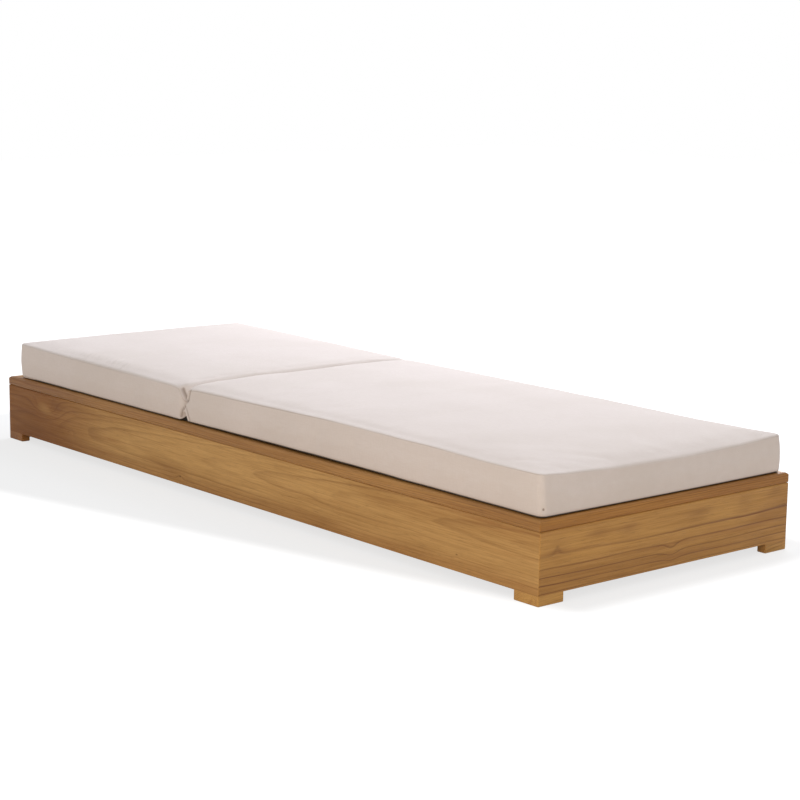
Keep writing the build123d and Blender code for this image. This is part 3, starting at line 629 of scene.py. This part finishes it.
# Its sides, base and top
SIDE_SWELL = 2.0 * MM
BASE_ROUND = 4.5 * MM
# How high the painted shade band round the cushion's base reaches
BASE_SHADE_TOP = 3.8 * MM
LAP_WIDTH = 12 * MM
LAP_EASE = 5 * MM
TOP_RIPPLE = 1.0 * MM
TOP_CROSS_RIPPLE = 0.7 * MM
SIDE_SHOULDER = 60 * MM
HEAD_SHOULDER = 50 * MM
FOOT_SHOULDER = 75 * MM
SHOULDER_ROUND = 0.6

# The fold at the sides: a pinch, creases that meet at it (x and height), a furrow in a wider bed,
# and a gap that opens downwards. Each pair that ends in UP holds the heights where it starts and is full.
PINCH_UP = 0.211
PINCH_DEPTH = 5 * MM
PINCH_WIDTH = 7 * MM
PINCH_START = 0.90
CREASES = (
    ((-0.223, 0.244), (-0.211, 0.226), (-0.203, 0.211), (-0.213, 0.195), (-0.220, 0.178)),
    ((-0.179, 0.246), (-0.184, 0.222), (-0.203, 0.211), (-0.190, 0.195), (-0.183, 0.176)),
)
CREASE_DEPTH = 4 * MM
CREASE_WIDTH = 3 * MM
# How wide the creases' painted shade is, and where it fades out toward the cushion's edge
CREASE_SHADE_WIDTH = 2.2 * MM
CREASE_SHADE_EDGE = (26 * MM, 14 * MM)
FURROW_DEPTH = 6 * MM
FURROW_WIDTH = 3.5 * MM
FURROW_BED_DEPTH = 3 * MM
FURROW_BED_WIDTH = 11 * MM
FOLD_GAP_DEPTH = 16 * MM
FOLD_GAP_UP = (0.205, 0.172)
FOLD_GAP_HALF = 3 * MM
FOLD_GAP_WIDENS = 14 * MM
FOLD_GAPE = 12 * MM
FOLD_GAPE_UP = (0.200, 0.170)
FOLD_GAPE_WIDTH = 9 * MM

# The valley over the fold: two rounded edges with a stitched line, and a V in a wide dip at the sides
VALLEY_ROUND = 24 * MM
VALLEY_WAVE = 3 * MM
VALLEY_DEPTH = 26 * MM
STITCH_DEPTH = 9 * MM
STITCH_WIDTH = 5 * MM
SIDE_V_START = 0.93
SIDE_V_DEPTH = 32 * MM
SIDE_V_HEAD = 22 * MM
SIDE_V_FOOT = 17 * MM
SIDE_V_HEAD_CURVE = 1.1
SIDE_V_FOOT_CURVE = 0.45
SIDE_DIP_DEPTH = 6 * MM
SIDE_DIP_WIDTH = 30 * MM

# The zip's bed, and the tack low on the near corner of the foot end
ZIP_BED = 3.2 * MM
ZIP_BED_EDGE = (14 * MM, 2 * MM)
ZIP_FACE = 8 * MM
TACK_PLACE = (CUSHION_FOOT, -346 * MM, 17 * MM)
TACK_DEPTH = 3.0 * MM
TACK_WIDTH = 5 * MM

# How far the cover may be blown out, how far and how strongly it is held beside a seam, and the cloth
CLOTH_CAP = 3 * MM
HELD_RUN = 30 * MM
HELD_AT_SEAM = 0.85
HELD_ALL_OVER = 0.1
CLOTH_FRAMES = 20
CLOTH_SETTINGS = {
    "quality": 4,
    "mass": 0.5,
    "tension_stiffness": 60,
    "compression_stiffness": 60,
    "shear_stiffness": 20,
    "bending_stiffness": 4,
    "pin_stiffness": 12,
    "use_pressure": True,
    "uniform_pressure_force": 4,
    "shrink_min": -0.002,
}

# How high the top seam runs, the top inside it, and the base over the near rim, at places along
NEAR_SEAM = ((-0.975, 0.2575), (-0.82, 0.2525), (-0.50, 0.2490), (-0.222, 0.2475), (0.02, 0.2510),
             (0.35, 0.2565), (0.66, 0.2550), (0.88, 0.2515), (1.001, 0.2530))
FAR_SEAM = ((-0.975, 0.2570), (-0.222, 0.2480), (0.35, 0.2460), (0.80, 0.2430), (1.001, 0.2475))
FOOT_SEAM = ((-0.351, 0.2530), (-0.27, 0.2465), (-0.13, 0.2400), (0.05, 0.2375), (0.22, 0.2410),
             (0.351, 0.2475))
HEAD_SEAM = ((-0.351, 0.2580), (-0.10, 0.2590), (0.15, 0.2590), (0.351, 0.2580))
TOP_LINE = ((-0.975, 0.2680), (-0.60, 0.2670), (-0.222, 0.2620), (0.10, 0.2630), (0.50, 0.2635),
            (1.001, 0.2590))
LAP_LINE = ((-0.975, 0.0010), (-0.50, 0.0004), (-0.222, 0.0008), (0.02, 0.0026), (0.30, 0.0030),
            (0.50, 0.0022), (0.66, 0.0010), (1.001, 0.0004))


def stations(low, high, coarse, spots):
    """Places from low to high, coarse apart, and closer near each (place, reach, gap) spot."""
    fine = np.linspace(low, high, FINE_STEPS + 1)
    gap = np.full(fine.size, coarse)
    for place, reach, narrow in spots:
        near = np.clip(np.abs(fine - place) / reach - 1, 0, 1)
        gap = np.minimum(gap, narrow + (coarse - narrow) * near)
    steps = (high - low) / FINE_STEPS / ((gap[1:] + gap[:-1]) / 2)
    crowd = np.concatenate([[0], np.cumsum(steps)])
    return np.interp(np.linspace(0, crowd[-1], int(crowd[-1]) + 1), crowd, fine)


def cushion_blank():
    """A box with its faces cut into small squares, finer along its edges and at the fold."""
    fold = (FOLD_X, FOLD_REACH, FOLD_GAP)
    head = stations(CUSHION_HEAD, FOLD_X, CLOTH_GAP, [(CUSHION_HEAD, EDGE_REACH, EDGE_GAP), fold])
    foot = stations(FOLD_X, CUSHION_FOOT, CLOTH_GAP, [(CUSHION_FOOT, EDGE_REACH, EDGE_GAP), fold])
    sides = [(place, EDGE_REACH, EDGE_GAP) for place in (-CUSHION_HALF, CUSHION_HALF)]
    across = stations(-CUSHION_HALF, CUSHION_HALF, CLOTH_GAP, sides)
    up = stations(0, SEAM_HEIGHT, UP_GAP, [(0, BASE_REACH, FOLD_GAP), (SEAM_HEIGHT, SEAM_REACH, FOLD_GAP)])
    places = (np.concatenate([head, foot[1:]]), across, up)
    mesh = bmesh.new()
    bmesh.ops.create_cube(mesh, size=1)
    for axis, cuts in enumerate(places):
        along = [edge for edge in mesh.edges if abs(edge.verts[0].co[axis] - edge.verts[1].co[axis]) > 0.5]
        bmesh.ops.subdivide_edges(mesh, edges=along, cuts=len(cuts) - 2)
    cushion = new_piece("chaise_cushion", mesh)
    box = read_places(cushion.data)
    for axis, cuts in enumerate(places):
        box[:, axis] = np.interp(box[:, axis] + 0.5, np.linspace(0, 1, len(cuts)), cuts)
    return cushion, box


def read_places(data):
    """A mesh's points as an array."""
    places = np.empty(len(data.vertices) * 3)
    data.vertices.foreach_get("co", places)
    return places.reshape(-1, 3)


def write_places(data, places):
    """Moves a mesh's points."""
    data.vertices.foreach_set("co", places.ravel())
    data.update()


def remember(data, name, values, kind="FLOAT"):
    """Stores a value or a place for each point of a mesh, for its material to read."""
    layer = data.attributes.new(name, kind, "POINT")
    field = "value" if kind == "FLOAT" else "vector"
    layer.data.foreach_set(field, values.astype(np.float32).ravel())


def hill(value, width):
    """1 at zero, falling smoothly to nothing over a few widths."""
    return np.exp(-((value / width) ** 2))


def smooth(value, low, high):
    """0 below low, 1 above high, smooth between."""
    share = np.clip((value - low) / (high - low), 0, 1)
    return share * share * (3 - 2 * share)


def waves(value, other, sizes, seed):
    """A soft random ripple of about 1 in height, made of a few sines."""
    draw = np.random.RandomState(seed)
    total = np.zeros(np.shape(value))
    for size in sizes:
        turn = draw.uniform(0, 2 * math.pi, 2)
        slant = draw.uniform(-0.6, 0.6)
        total += np.sin(value * 2 * math.pi / size + slant * other * 2 * math.pi / size + turn[0])
    return total / len(sizes)


def run_of(value, line):
    """A height that eases from one place of a line to the next."""
    at, high = np.array(line).T
    index = np.clip(np.searchsorted(at, value) - 1, 0, len(at) - 2)
    share = np.clip((value - at[index]) / (at[index + 1] - at[index]), 0, 1)
    share = share * share * (3 - 2 * share) * 0.5 + share * 0.5
    return high[index] + (high[index + 1] - high[index]) * share


def cushion_edges(box):
    """For each point of the blank: whether it belongs to the head section, and how far it lies
    inside the cushion's end and its nearer side."""
    x, y = box.T[:2]
    head_side = x < HINGE.x
    inward = np.abs(np.where(head_side, CUSHION_HEAD, CUSHION_FOOT) - x)
    return head_side, inward, CUSHION_HALF - np.abs(y)


def cushion_plan(box):
    """Where the points go in plan: rounded corners, sides drawn in, and swelling between the seams."""
    x, y, up = box.T
    head_side, inward = cushion_edges(box)[:2]
    end = np.where(head_side, CUSHION_HEAD, CUSHION_FOOT)
    share = up / SEAM_HEIGHT
    corner_round = PLAN_ROUND_LOW + (PLAN_ROUND - PLAN_ROUND_LOW) * share
    past_x = np.maximum(np.abs(x - CUSHION_MIDDLE) - (CUSHION_REACH - corner_round), 0)
    past_y = np.maximum(np.abs(y) - (CUSHION_HALF - corner_round), 0)
    pull = np.maximum(past_x, past_y) / np.maximum(np.hypot(past_x, past_y), 1e-9)
    new_x = x - np.sign(x - CUSHION_MIDDLE) * past_x * (1 - pull)
    new_y = y - np.sign(y) * past_y * (1 - pull)
    half_run = np.abs(end - HINGE.x) / 2
    along = np.clip((inward - half_run) / half_run, -1, 1)
    draw_in = SIDE_DRAW_IN * (1 - along**2) + SIDE_RIPPLE * waves(x, y, (0.31, 0.19, 0.12), 3)
    new_y -= np.sign(y) * draw_in * np.clip(np.abs(y) / CUSHION_HALF, 0, 1) ** 3
    end_share = 1 - np.clip(inward / END_RUN, 0, 1)
    lean = np.where(head_side, 0, -FOOT_LEAN) * (1 - share)
    new_x -= np.sign(end) * end_share * (lean + END_BOW * (y / CUSHION_HALF) ** 2)
    swell = SIDE_SWELL * np.sin(math.pi * np.clip(share, 0, 1))
    turn = np.clip(up / BASE_ROUND, 0, 1) * RIGHT_ANGLE
    on_top = up > SEAM_HEIGHT - TOUCH
    tuck = np.where(on_top, 0, BASE_ROUND * (1 - np.sin(turn)) - swell)
    new_y *= (CUSHION_HALF - tuck) / CUSHION_HALF
    new_x = CUSHION_MIDDLE + (new_x - CUSHION_MIDDLE) * (CUSHION_REACH - tuck) / CUSHION_REACH
    return new_x, new_y


def cushion_base(box):
    """How high the base lies: on the rims along its edges, its belly sunk to the deck inside them."""
    head_side, inward, aside = cushion_edges(box)
    inside = np.minimum(aside, np.where(head_side, 1.0, inward))
    sunk = smooth(inside, LAP_WIDTH, LAP_WIDTH + LAP_EASE)
    lap = RIM_CLEAR + run_of(box.T[0], LAP_LINE)
    return lap + (DECK_CLEAR - lap) * sunk


def cushion_top(box):
    """How high the top lies and its nearest seam: it falls to its seams over a long soft shoulder."""
    x, y = box.T[:2]
    head_side, inward, aside = cushion_edges(box)
    side_seam = np.where(y < 0, run_of(x, NEAR_SEAM), run_of(x, FAR_SEAM))
    end_seam = np.where(head_side, run_of(y, HEAD_SEAM), run_of(y, FOOT_SEAM))
    top = run_of(x, TOP_LINE) + TOP_RIPPLE * waves(x, y, (0.43, 0.27, 0.17), 5)
    top += TOP_CROSS_RIPPLE * waves(y, x, (0.33, 0.21), 6)
    side_drop = (top - side_seam) * shoulder(aside, SIDE_SHOULDER)
    end_drop = (top - end_seam) * shoulder(inward, np.where(head_side, HEAD_SHOULDER, FOOT_SHOULDER))
    return top - np.maximum(side_drop, end_drop), np.where(aside < inward, side_seam, end_seam)


def cushion_form(box):
    """Where each point of the blank goes: the cushion at rest, before its cover is filled out."""
    x, y, up = box.T
    head_side, inward, aside = cushion_edges(box)
    new_x, new_y = cushion_plan(box)
    base = cushion_base(box)
    top, seam = cushion_top(box)
    valley = fold_valley(x, y)
    on_top = up > SEAM_HEIGHT - TOUCH
    turn = np.clip(up / BASE_ROUND, 0, 1) * RIGHT_ANGLE
    rise = np.where(up < BASE_ROUND, BASE_ROUND * (1 - np.cos(turn)), up)
    height = np.where(on_top, top - valley, base + rise * (seam - valley - base) / SEAM_HEIGHT)

    # At the fold the sides are pinched in, and their base lifts off the rim
    near_side = smooth(np.abs(y) / CUSHION_HALF, PINCH_START, 1.0) * (on_top | (up < TOUCH))
    at_edge = np.where(aside < TOUCH, 1.0, near_side)
    new_y -= np.sign(y) * fold_inset(x, height) * at_edge
    gape = FOLD_GAPE * hill(x - FOLD_X, FOLD_GAPE_WIDTH) * at_edge * smooth(height, *FOLD_GAPE_UP)
    height += np.where(on_top, 0, gape)

    # The zip lies in a shallow bed in the head end, and a tack pulls the foot end in
    new_x += ZIP_BED * beside_zip(new_y, height) * (inward < TOUCH) * head_side
    from_tack = np.hypot(y - TACK_PLACE[1], up - TACK_PLACE[2])
    new_x -= np.where(inward < TOUCH, TACK_DEPTH * hill(from_tack, TACK_WIDTH), 0) * ~head_side
    return np.stack([new_x, new_y, height], axis=1)


def beside_zip(y, height):
    """1 over the zip, easing to nothing around it."""
    past_y = np.maximum(ZIP_LOW.y - y, y - ZIP_HIGH.y)
    past_z = np.maximum(ZIP_LOW.z - height, height - ZIP_HIGH.z)
    return smooth(np.maximum(past_y, past_z), *ZIP_BED_EDGE)


def shoulder(inside, width):
    """1 at a seam, rolling over to nothing inside it, steepest at the seam."""
    rest = np.clip(1 - inside / width, 0, 1)
    return SHOULDER_ROUND * (1 - np.sqrt(1 - rest**2)) + (1 - SHOULDER_ROUND) * hill(inside, 1.6 * width)


def fold_valley(x, y):
    """How far the top dips at the fold: two rounded edges that meet, and an open V at the sides."""
    off = x - FOLD_X
    round_x = VALLEY_ROUND + VALLEY_WAVE * waves(y, x, (0.21, 0.13), 11)
    near = np.clip(1 - np.abs(off) / round_x, 0, 1)
    inner = (1 - np.sqrt(1 - near**2)) * VALLEY_DEPTH + STITCH_DEPTH * hill(off, STITCH_WIDTH)
    slope = np.clip(1 - np.where(off < 0, -off / SIDE_V_HEAD, off / SIDE_V_FOOT), 0, 1)
    curve = np.where(off < 0, SIDE_V_HEAD_CURVE, SIDE_V_FOOT_CURVE)
    outer = SIDE_V_DEPTH * slope**curve + SIDE_DIP_DEPTH * hill(off, SIDE_DIP_WIDTH)
    return inner + (outer - inner) * smooth(np.abs(y) / CUSHION_HALF, SIDE_V_START, 1.0)


def crease_gap(x, height):
    """How far a point of a side is from the creases that meet at the fold's pinch."""
    nearest = np.full(np.shape(x), 1.0)
    for line in CREASES:
        for (x0, z0), (x1, z1) in zip(line, line[1:]):
            run, rise = x1 - x0, z1 - z0
            share = np.clip(((x - x0) * run + (height - z0) * rise) / (run**2 + rise**2), 0, 1)
            nearest = np.minimum(nearest, np.hypot(x - x0 - share * run, height - z0 - share * rise))
    return nearest


def fold_inset(x, height):
    """How far the sides are drawn in at the fold: a furrow, creases, a pinch and a gap below."""
    off = x - FOLD_X
    low = smooth(height, *FOLD_GAP_UP)
    gap_half = FOLD_GAP_HALF + FOLD_GAP_WIDENS * low
    gap = FOLD_GAP_DEPTH * low * np.clip(1 - np.abs(off) / gap_half, 0, 1)
    furrow = FURROW_DEPTH * hill(off, FURROW_WIDTH) + FURROW_BED_DEPTH * hill(off, FURROW_BED_WIDTH)
    pinch = PINCH_DEPTH * hill(np.hypot(off, height - PINCH_UP), PINCH_WIDTH)
    return np.maximum(gap, furrow) + pinch + CREASE_DEPTH * hill(crease_gap(x, height), CREASE_WIDTH)


def fill_cushion(cushion, form, sewn):
    """Cloth simulation: the cover is blown out against its seams, and held near its foam."""
    trial = cushion.copy()
    trial.data = cushion.data.copy()
    bpy.context.scene.collection.objects.link(trial)
    hold = trial.vertex_groups.new(name="sewn")
    for index, weight in enumerate(sewn.tolist()):
        hold.add([index], weight, "REPLACE")
    cloth = trial.modifiers.new("filling", "CLOTH")
    cloth.settings.vertex_group_mass = "sewn"
    for setting, value in CLOTH_SETTINGS.items():
        setattr(cloth.settings, setting, value)
    cloth.settings.effector_weights.gravity = 0
    cloth.collision_settings.use_collision = False
    scene = bpy.context.scene
    for step in range(1, CLOTH_FRAMES + 1):
        scene.frame_set(step)
    graph = bpy.context.evaluated_depsgraph_get()
    result = read_places(trial.evaluated_get(graph).data)
    scene.frame_set(1)
    bpy.data.objects.remove(trial)
    moved = result - form
    far = np.linalg.norm(moved, axis=1)
    return form + moved * (CLOTH_CAP * np.tanh(far / CLOTH_CAP) / np.maximum(far, 1e-9))[:, None]


def make_cushion():
    """The whole cushion as one piece."""
    cushion, box = cushion_blank()
    data = cushion.data
    form = cushion_form(box)
    write_places(data, form)
    seam = seam_distance(box)
    sewn = np.clip(1 - seam / HELD_RUN, 0, 1) * HELD_AT_SEAM + HELD_ALL_OVER
    at_zip = (form[:, 0] < CUSHION_HEAD + ZIP_FACE) & (beside_zip(form[:, 1], form[:, 2]) > 0)
    sewn[(seam < TOUCH) | (box[:, 2] < TOUCH) | at_zip] = 1
    form = fill_cushion(cushion, form, sewn)
    write_places(data, form)
    # The painted shade along the creases, for the material to read
    crease_shade = hill(crease_gap(form[:, 0], form[:, 2]), CREASE_SHADE_WIDTH)
    crease_shade *= smooth(CUSHION_HALF - np.abs(box[:, 1]), *CREASE_SHADE_EDGE)
    remember(data, "seam_gap", seam)
    remember(data, "crease_shade", crease_shade)
    remember(data, "cloth_place", box, "FLOAT_VECTOR")
    data.materials.append(cushion_fabric())
    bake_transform(cushion)
    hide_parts("seat_cushion_cover", "back_cushion_cover", "cushion_fold")
    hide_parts("seat_cushion_foam", "back_cushion_foam")


def seam_distance(box):
    """How far each point of the cover lies from the nearest sewn line."""
    x, y, up = box.T
    inward = np.minimum(np.abs(x - CUSHION_HEAD), np.abs(x - CUSHION_FOOT))
    aside = CUSHION_HALF - np.abs(y)
    on_top = up > SEAM_HEIGHT - TOUCH
    on_base = up < TOUCH
    from_top = np.where(on_top, np.minimum(inward, aside), SEAM_HEIGHT - up)
    from_base = np.where(on_base, np.minimum(inward, aside), up)
    from_base = np.where(on_top, 1.0, from_base)
    from_top = np.where(on_base, 1.0, from_top)
    from_fold = np.abs(x - FOLD_X)
    from_tack = np.where(x > 0, np.hypot(y - TACK_PLACE[1], up - TACK_PLACE[2]), 1.0)
    from_tack = np.where(inward < TOUCH, from_tack, 1.0)
    return np.minimum.reduce([from_top, from_base, from_fold, from_tack])


# The cushion's cloth

CLOTH_WARM = (0.80, 0.745, 0.725)
CLOTH_COOL = (0.84, 0.785, 0.775)
CLOTH_SHADE = (0.74, 0.675, 0.645)
# The seams' colour, also used for the painted shaded strip above the base
CLOTH_SEAM_AND_SHADE = (0.50, 0.42, 0.36)
# The dark of the painted shade in the creases and at the tack
CLOTH_CREASE_SHADE = (0.26, 0.19, 0.15)
# The near-black of the painted shade band round the base
BASE_SHADE_DARK = (0.020, 0.011, 0.007)
THREAD_PITCH = 1.5 * MM
CLOTH_RELIEF = 0.7 * MM
SEAM_LINE = 1.8 * MM
SEAM_FURROW = 2.4 * MM
PUCKER_REACH = 14 * MM
# The size of the tack's painted dark dot
TACK_SHADE_DOT = (1.6 * MM, 3.6 * MM)
# The seams are fainter on the head section, from the first x to the second, and on the foot end's face
FAINT_SEAMS = (-0.50, -0.22)
FOOT_FACE = 9 * MM
# The painted shade band at the base: the fainter shaded strip above it, and its soft edge
BASE_SHADE_STRIP = 7 * MM
BASE_SHADE_EDGE = 1 * MM
# The painted shade band at the base shows at the sides from here on, toward the foot end
BASE_SHADE_SHOWN = (-0.925, -0.885)
# Fine wrinkles run slanting over the top: by the head section's near side, about this middle, and at
# the far corner of the foot end. Each pair is where they are full and where they have faded.
WRINKLES_RUN = (-0.465, 0.885)
WRINKLES_MIDDLE = -0.64
WRINKLES_ALONG = (0.12, 0.25)
WRINKLES_ASIDE = (25 * MM, 75 * MM)
CORNER_ASIDE = (30 * MM, 90 * MM)
CORNER_ALONG = (40 * MM, 120 * MM)


def cushion_fabric():
    """Plain-woven outdoor cloth, a warm off-white, with sewn seams that pucker a little."""
    paint = Paint("woven_cushion_cloth", roughness=0.85, sheen=0.25)
    paint.shader.inputs["Sheen Roughness"].default_value = 0.5
    cloth = paint.attribute("cloth_place", "Vector")
    seam = paint.attribute("seam_gap")
    slub = paint.noise(paint.scaled(cloth, (60, 420, 420)), 1.0, 2.0)
    slub_across = paint.noise(paint.scaled(cloth, (420, 60, 60)), 1.0, 2.0)
    slub = paint.math("MULTIPLY", paint.math("ADD", slub, slub_across), 0.5)
    paint.colour(cloth_colour(paint, cloth, seam, slub))
    paint.bump(cloth_relief(paint, cloth, seam, slub), CLOTH_RELIEF, 0.55)
    return paint.material


def cloth_colour(paint, cloth, seam, slub):
    """Threads of two tones, darker at the seams, with painted shade in the creases, at the tack and in a dark
    band round the base.
    """
    x, y, up = paint.split(cloth)
    cloud = paint.noise(paint.scaled(cloth, (5, 5, 5)), 1.0, 3.0)
    colour = paint.blend(paint.ramp(cloud, 0.3, 0.7), CLOTH_WARM, CLOTH_COOL)
    colour = paint.blend(paint.ramp(slub, 0.38, 0.62, 0.0, 0.25), colour, CLOTH_SHADE)

    # The seams' lines, fainter on the head section and at the foot end
    worn = paint.noise(paint.scaled(cloth, (3, 3, 3), (4, 1, 2)), 1.0, 1.0)
    worn = paint.ramp(worn, 0.35, 0.65, 0.15, 0.65)
    worn = paint.math("MULTIPLY", worn, paint.ramp(x, *FAINT_SEAMS, 0.3, 1.0))
    worn = paint.math("MULTIPLY", worn, paint.ramp(x, CUSHION_FOOT - FOOT_FACE, CUSHION_FOOT, 1.0, 0.4))
    on_seam = paint.ramp(seam, 0.0, SEAM_LINE, 1.0, 0.0)
    colour = paint.blend(paint.math("MULTIPLY", on_seam, worn), colour, CLOTH_SEAM_AND_SHADE)

    # Painted shade in the creases at the fold, and the tack dimple's painted dark dot
    colour = paint.blend(paint.math("MULTIPLY", paint.attribute("crease_shade"), 0.75), colour, CLOTH_CREASE_SHADE)
    off = [paint.math("SUBTRACT", part, centre) for part, centre in zip((x, y, up), TACK_PLACE)]
    off = [paint.math("MULTIPLY", part, part) for part in off]
    from_tack = paint.math("SQRT", paint.math("ADD", off[0], paint.math("ADD", off[1], off[2])))
    colour = paint.blend(paint.ramp(from_tack, *TACK_SHADE_DOT, 0.75, 0.0), colour, CLOTH_CREASE_SHADE)

    # Painted shade: a near-black band round the base, painted as dark base cloth, stands in for the shadow
    # line where the cushion meets the rim, with a fainter painted shaded strip above it; the underside is
    # painted dark too
    shade_above = paint.ramp(up, BASE_SHADE_TOP, BASE_SHADE_TOP + BASE_SHADE_STRIP, 0.25, 0.0)
    colour = paint.blend(shade_above, colour, CLOTH_SEAM_AND_SHADE)
    shade_band = paint.ramp(up, BASE_SHADE_TOP - BASE_SHADE_EDGE, BASE_SHADE_TOP + BASE_SHADE_EDGE, 1.0, 0.0)
    underside = paint.ramp(up, 0.0, 0.2 * MM, 1.0, 0.0)
    shade_shown = paint.math("MAXIMUM", paint.ramp(x, *BASE_SHADE_SHOWN), underside)
    return paint.blend(paint.math("MULTIPLY", shade_band, shade_shown), colour, BASE_SHADE_DARK)


def cloth_relief(paint, cloth, seam, slub):
    """The weave, puckers beside the seams, the furrow of the stitching, and the top's wrinkles."""
    x, y, up = paint.split(cloth)
    threads = []
    for run in (x, paint.math("ADD", y, up)):
        threads.append(paint.math("SINE", paint.math("MULTIPLY", run, 2 * math.pi / THREAD_PITCH)))
    relief = paint.math("MULTIPLY", paint.math("MULTIPLY", *threads), 0.12)
    relief = paint.math("MULTIPLY_ADD", slub, 0.25, relief)
    pucker = paint.noise(paint.scaled(cloth, (75, 75, 30)), 1.0, 2.0, 0.6)
    beside = paint.ramp(seam, 0.0, PUCKER_REACH, 1.0, 0.0)
    folds = paint.math("MULTIPLY", paint.math("MULTIPLY", pucker, beside), 1.6)
    furrow = paint.ramp(seam, 0.0, SEAM_FURROW, -1.2, 0.0)
    relief = paint.math("ADD", relief, paint.math("ADD", folds, furrow))
    return paint.math("ADD", relief, top_wrinkles(paint, x, y, up))


def top_wrinkles(paint, x, y, up):
    """Fine slanting wrinkles on the top, by the head section's near side and the far foot corner."""
    slant, square = WRINKLES_RUN
    run = paint.math("MULTIPLY_ADD", x, slant, paint.math("MULTIPLY", y, square))
    off_run = paint.math("MULTIPLY_ADD", x, square, paint.math("MULTIPLY", y, -slant))
    fine = paint.noise(paint.scaled(paint.join(run, off_run, 0.0), (13, 105, 1)), 1.0, 1.0)
    full, faded = WRINKLES_ASIDE
    near_side = paint.ramp(y, full - CUSHION_HALF, faded - CUSHION_HALF, 1.0, 0.0)
    off_middle = paint.math("ABSOLUTE", paint.math("SUBTRACT", x, WRINKLES_MIDDLE))
    at_side = paint.math("MULTIPLY", near_side, paint.ramp(off_middle, *WRINKLES_ALONG, 1.0, 0.0))
    full, faded = CORNER_ASIDE
    far_side = paint.ramp(y, CUSHION_HALF - faded, CUSHION_HALF - full)
    full, faded = CORNER_ALONG
    foot_end = paint.ramp(x, CUSHION_FOOT - faded, CUSHION_FOOT - full)
    corner = paint.math("MULTIPLY", far_side, foot_end)
    on_top = paint.ramp(up, SEAM_HEIGHT - 1 * MM, SEAM_HEIGHT, 0.0, 8.0)
    drawn = paint.math("MULTIPLY", paint.math("ADD", at_side, corner), on_top)
    return paint.math("MULTIPLY", fine, drawn)


# The zip

ZIP_TAPE = (0.74, 0.68, 0.64)
ZIP_COIL = (0.62, 0.57, 0.53)
ZIP_PITCH = 2.0 * MM
ZIP_RELIEF = 0.5 * MM
COIL_EDGE = (2.2 * MM, 3.0 * MM)


def dress_zip():
    """Off-white nylon tape with a closed coil down its middle."""
    paint = Paint("zip_tape", roughness=0.6)
    y, z = paint.split(paint.place())[1:]
    ribs = paint.math("SINE", paint.math("MULTIPLY", y, 2 * math.pi / ZIP_PITCH))
    off = paint.math("ABSOLUTE", paint.math("SUBTRACT", z, (ZIP_LOW.z + ZIP_HIGH.z) / 2))
    coil = paint.ramp(off, *COIL_EDGE, 1.0, 0.0)
    paint.colour(paint.blend(coil, ZIP_TAPE, ZIP_COIL))
    paint.bump(paint.math("MULTIPLY", ribs, coil), ZIP_RELIEF, 0.8)
    dress("cushion_zip", paint.material)


make_camera()
make_floor()
make_light()
dress_boards()
dress_metal()
dress_nylon()
dress_zip()
make_cushion()
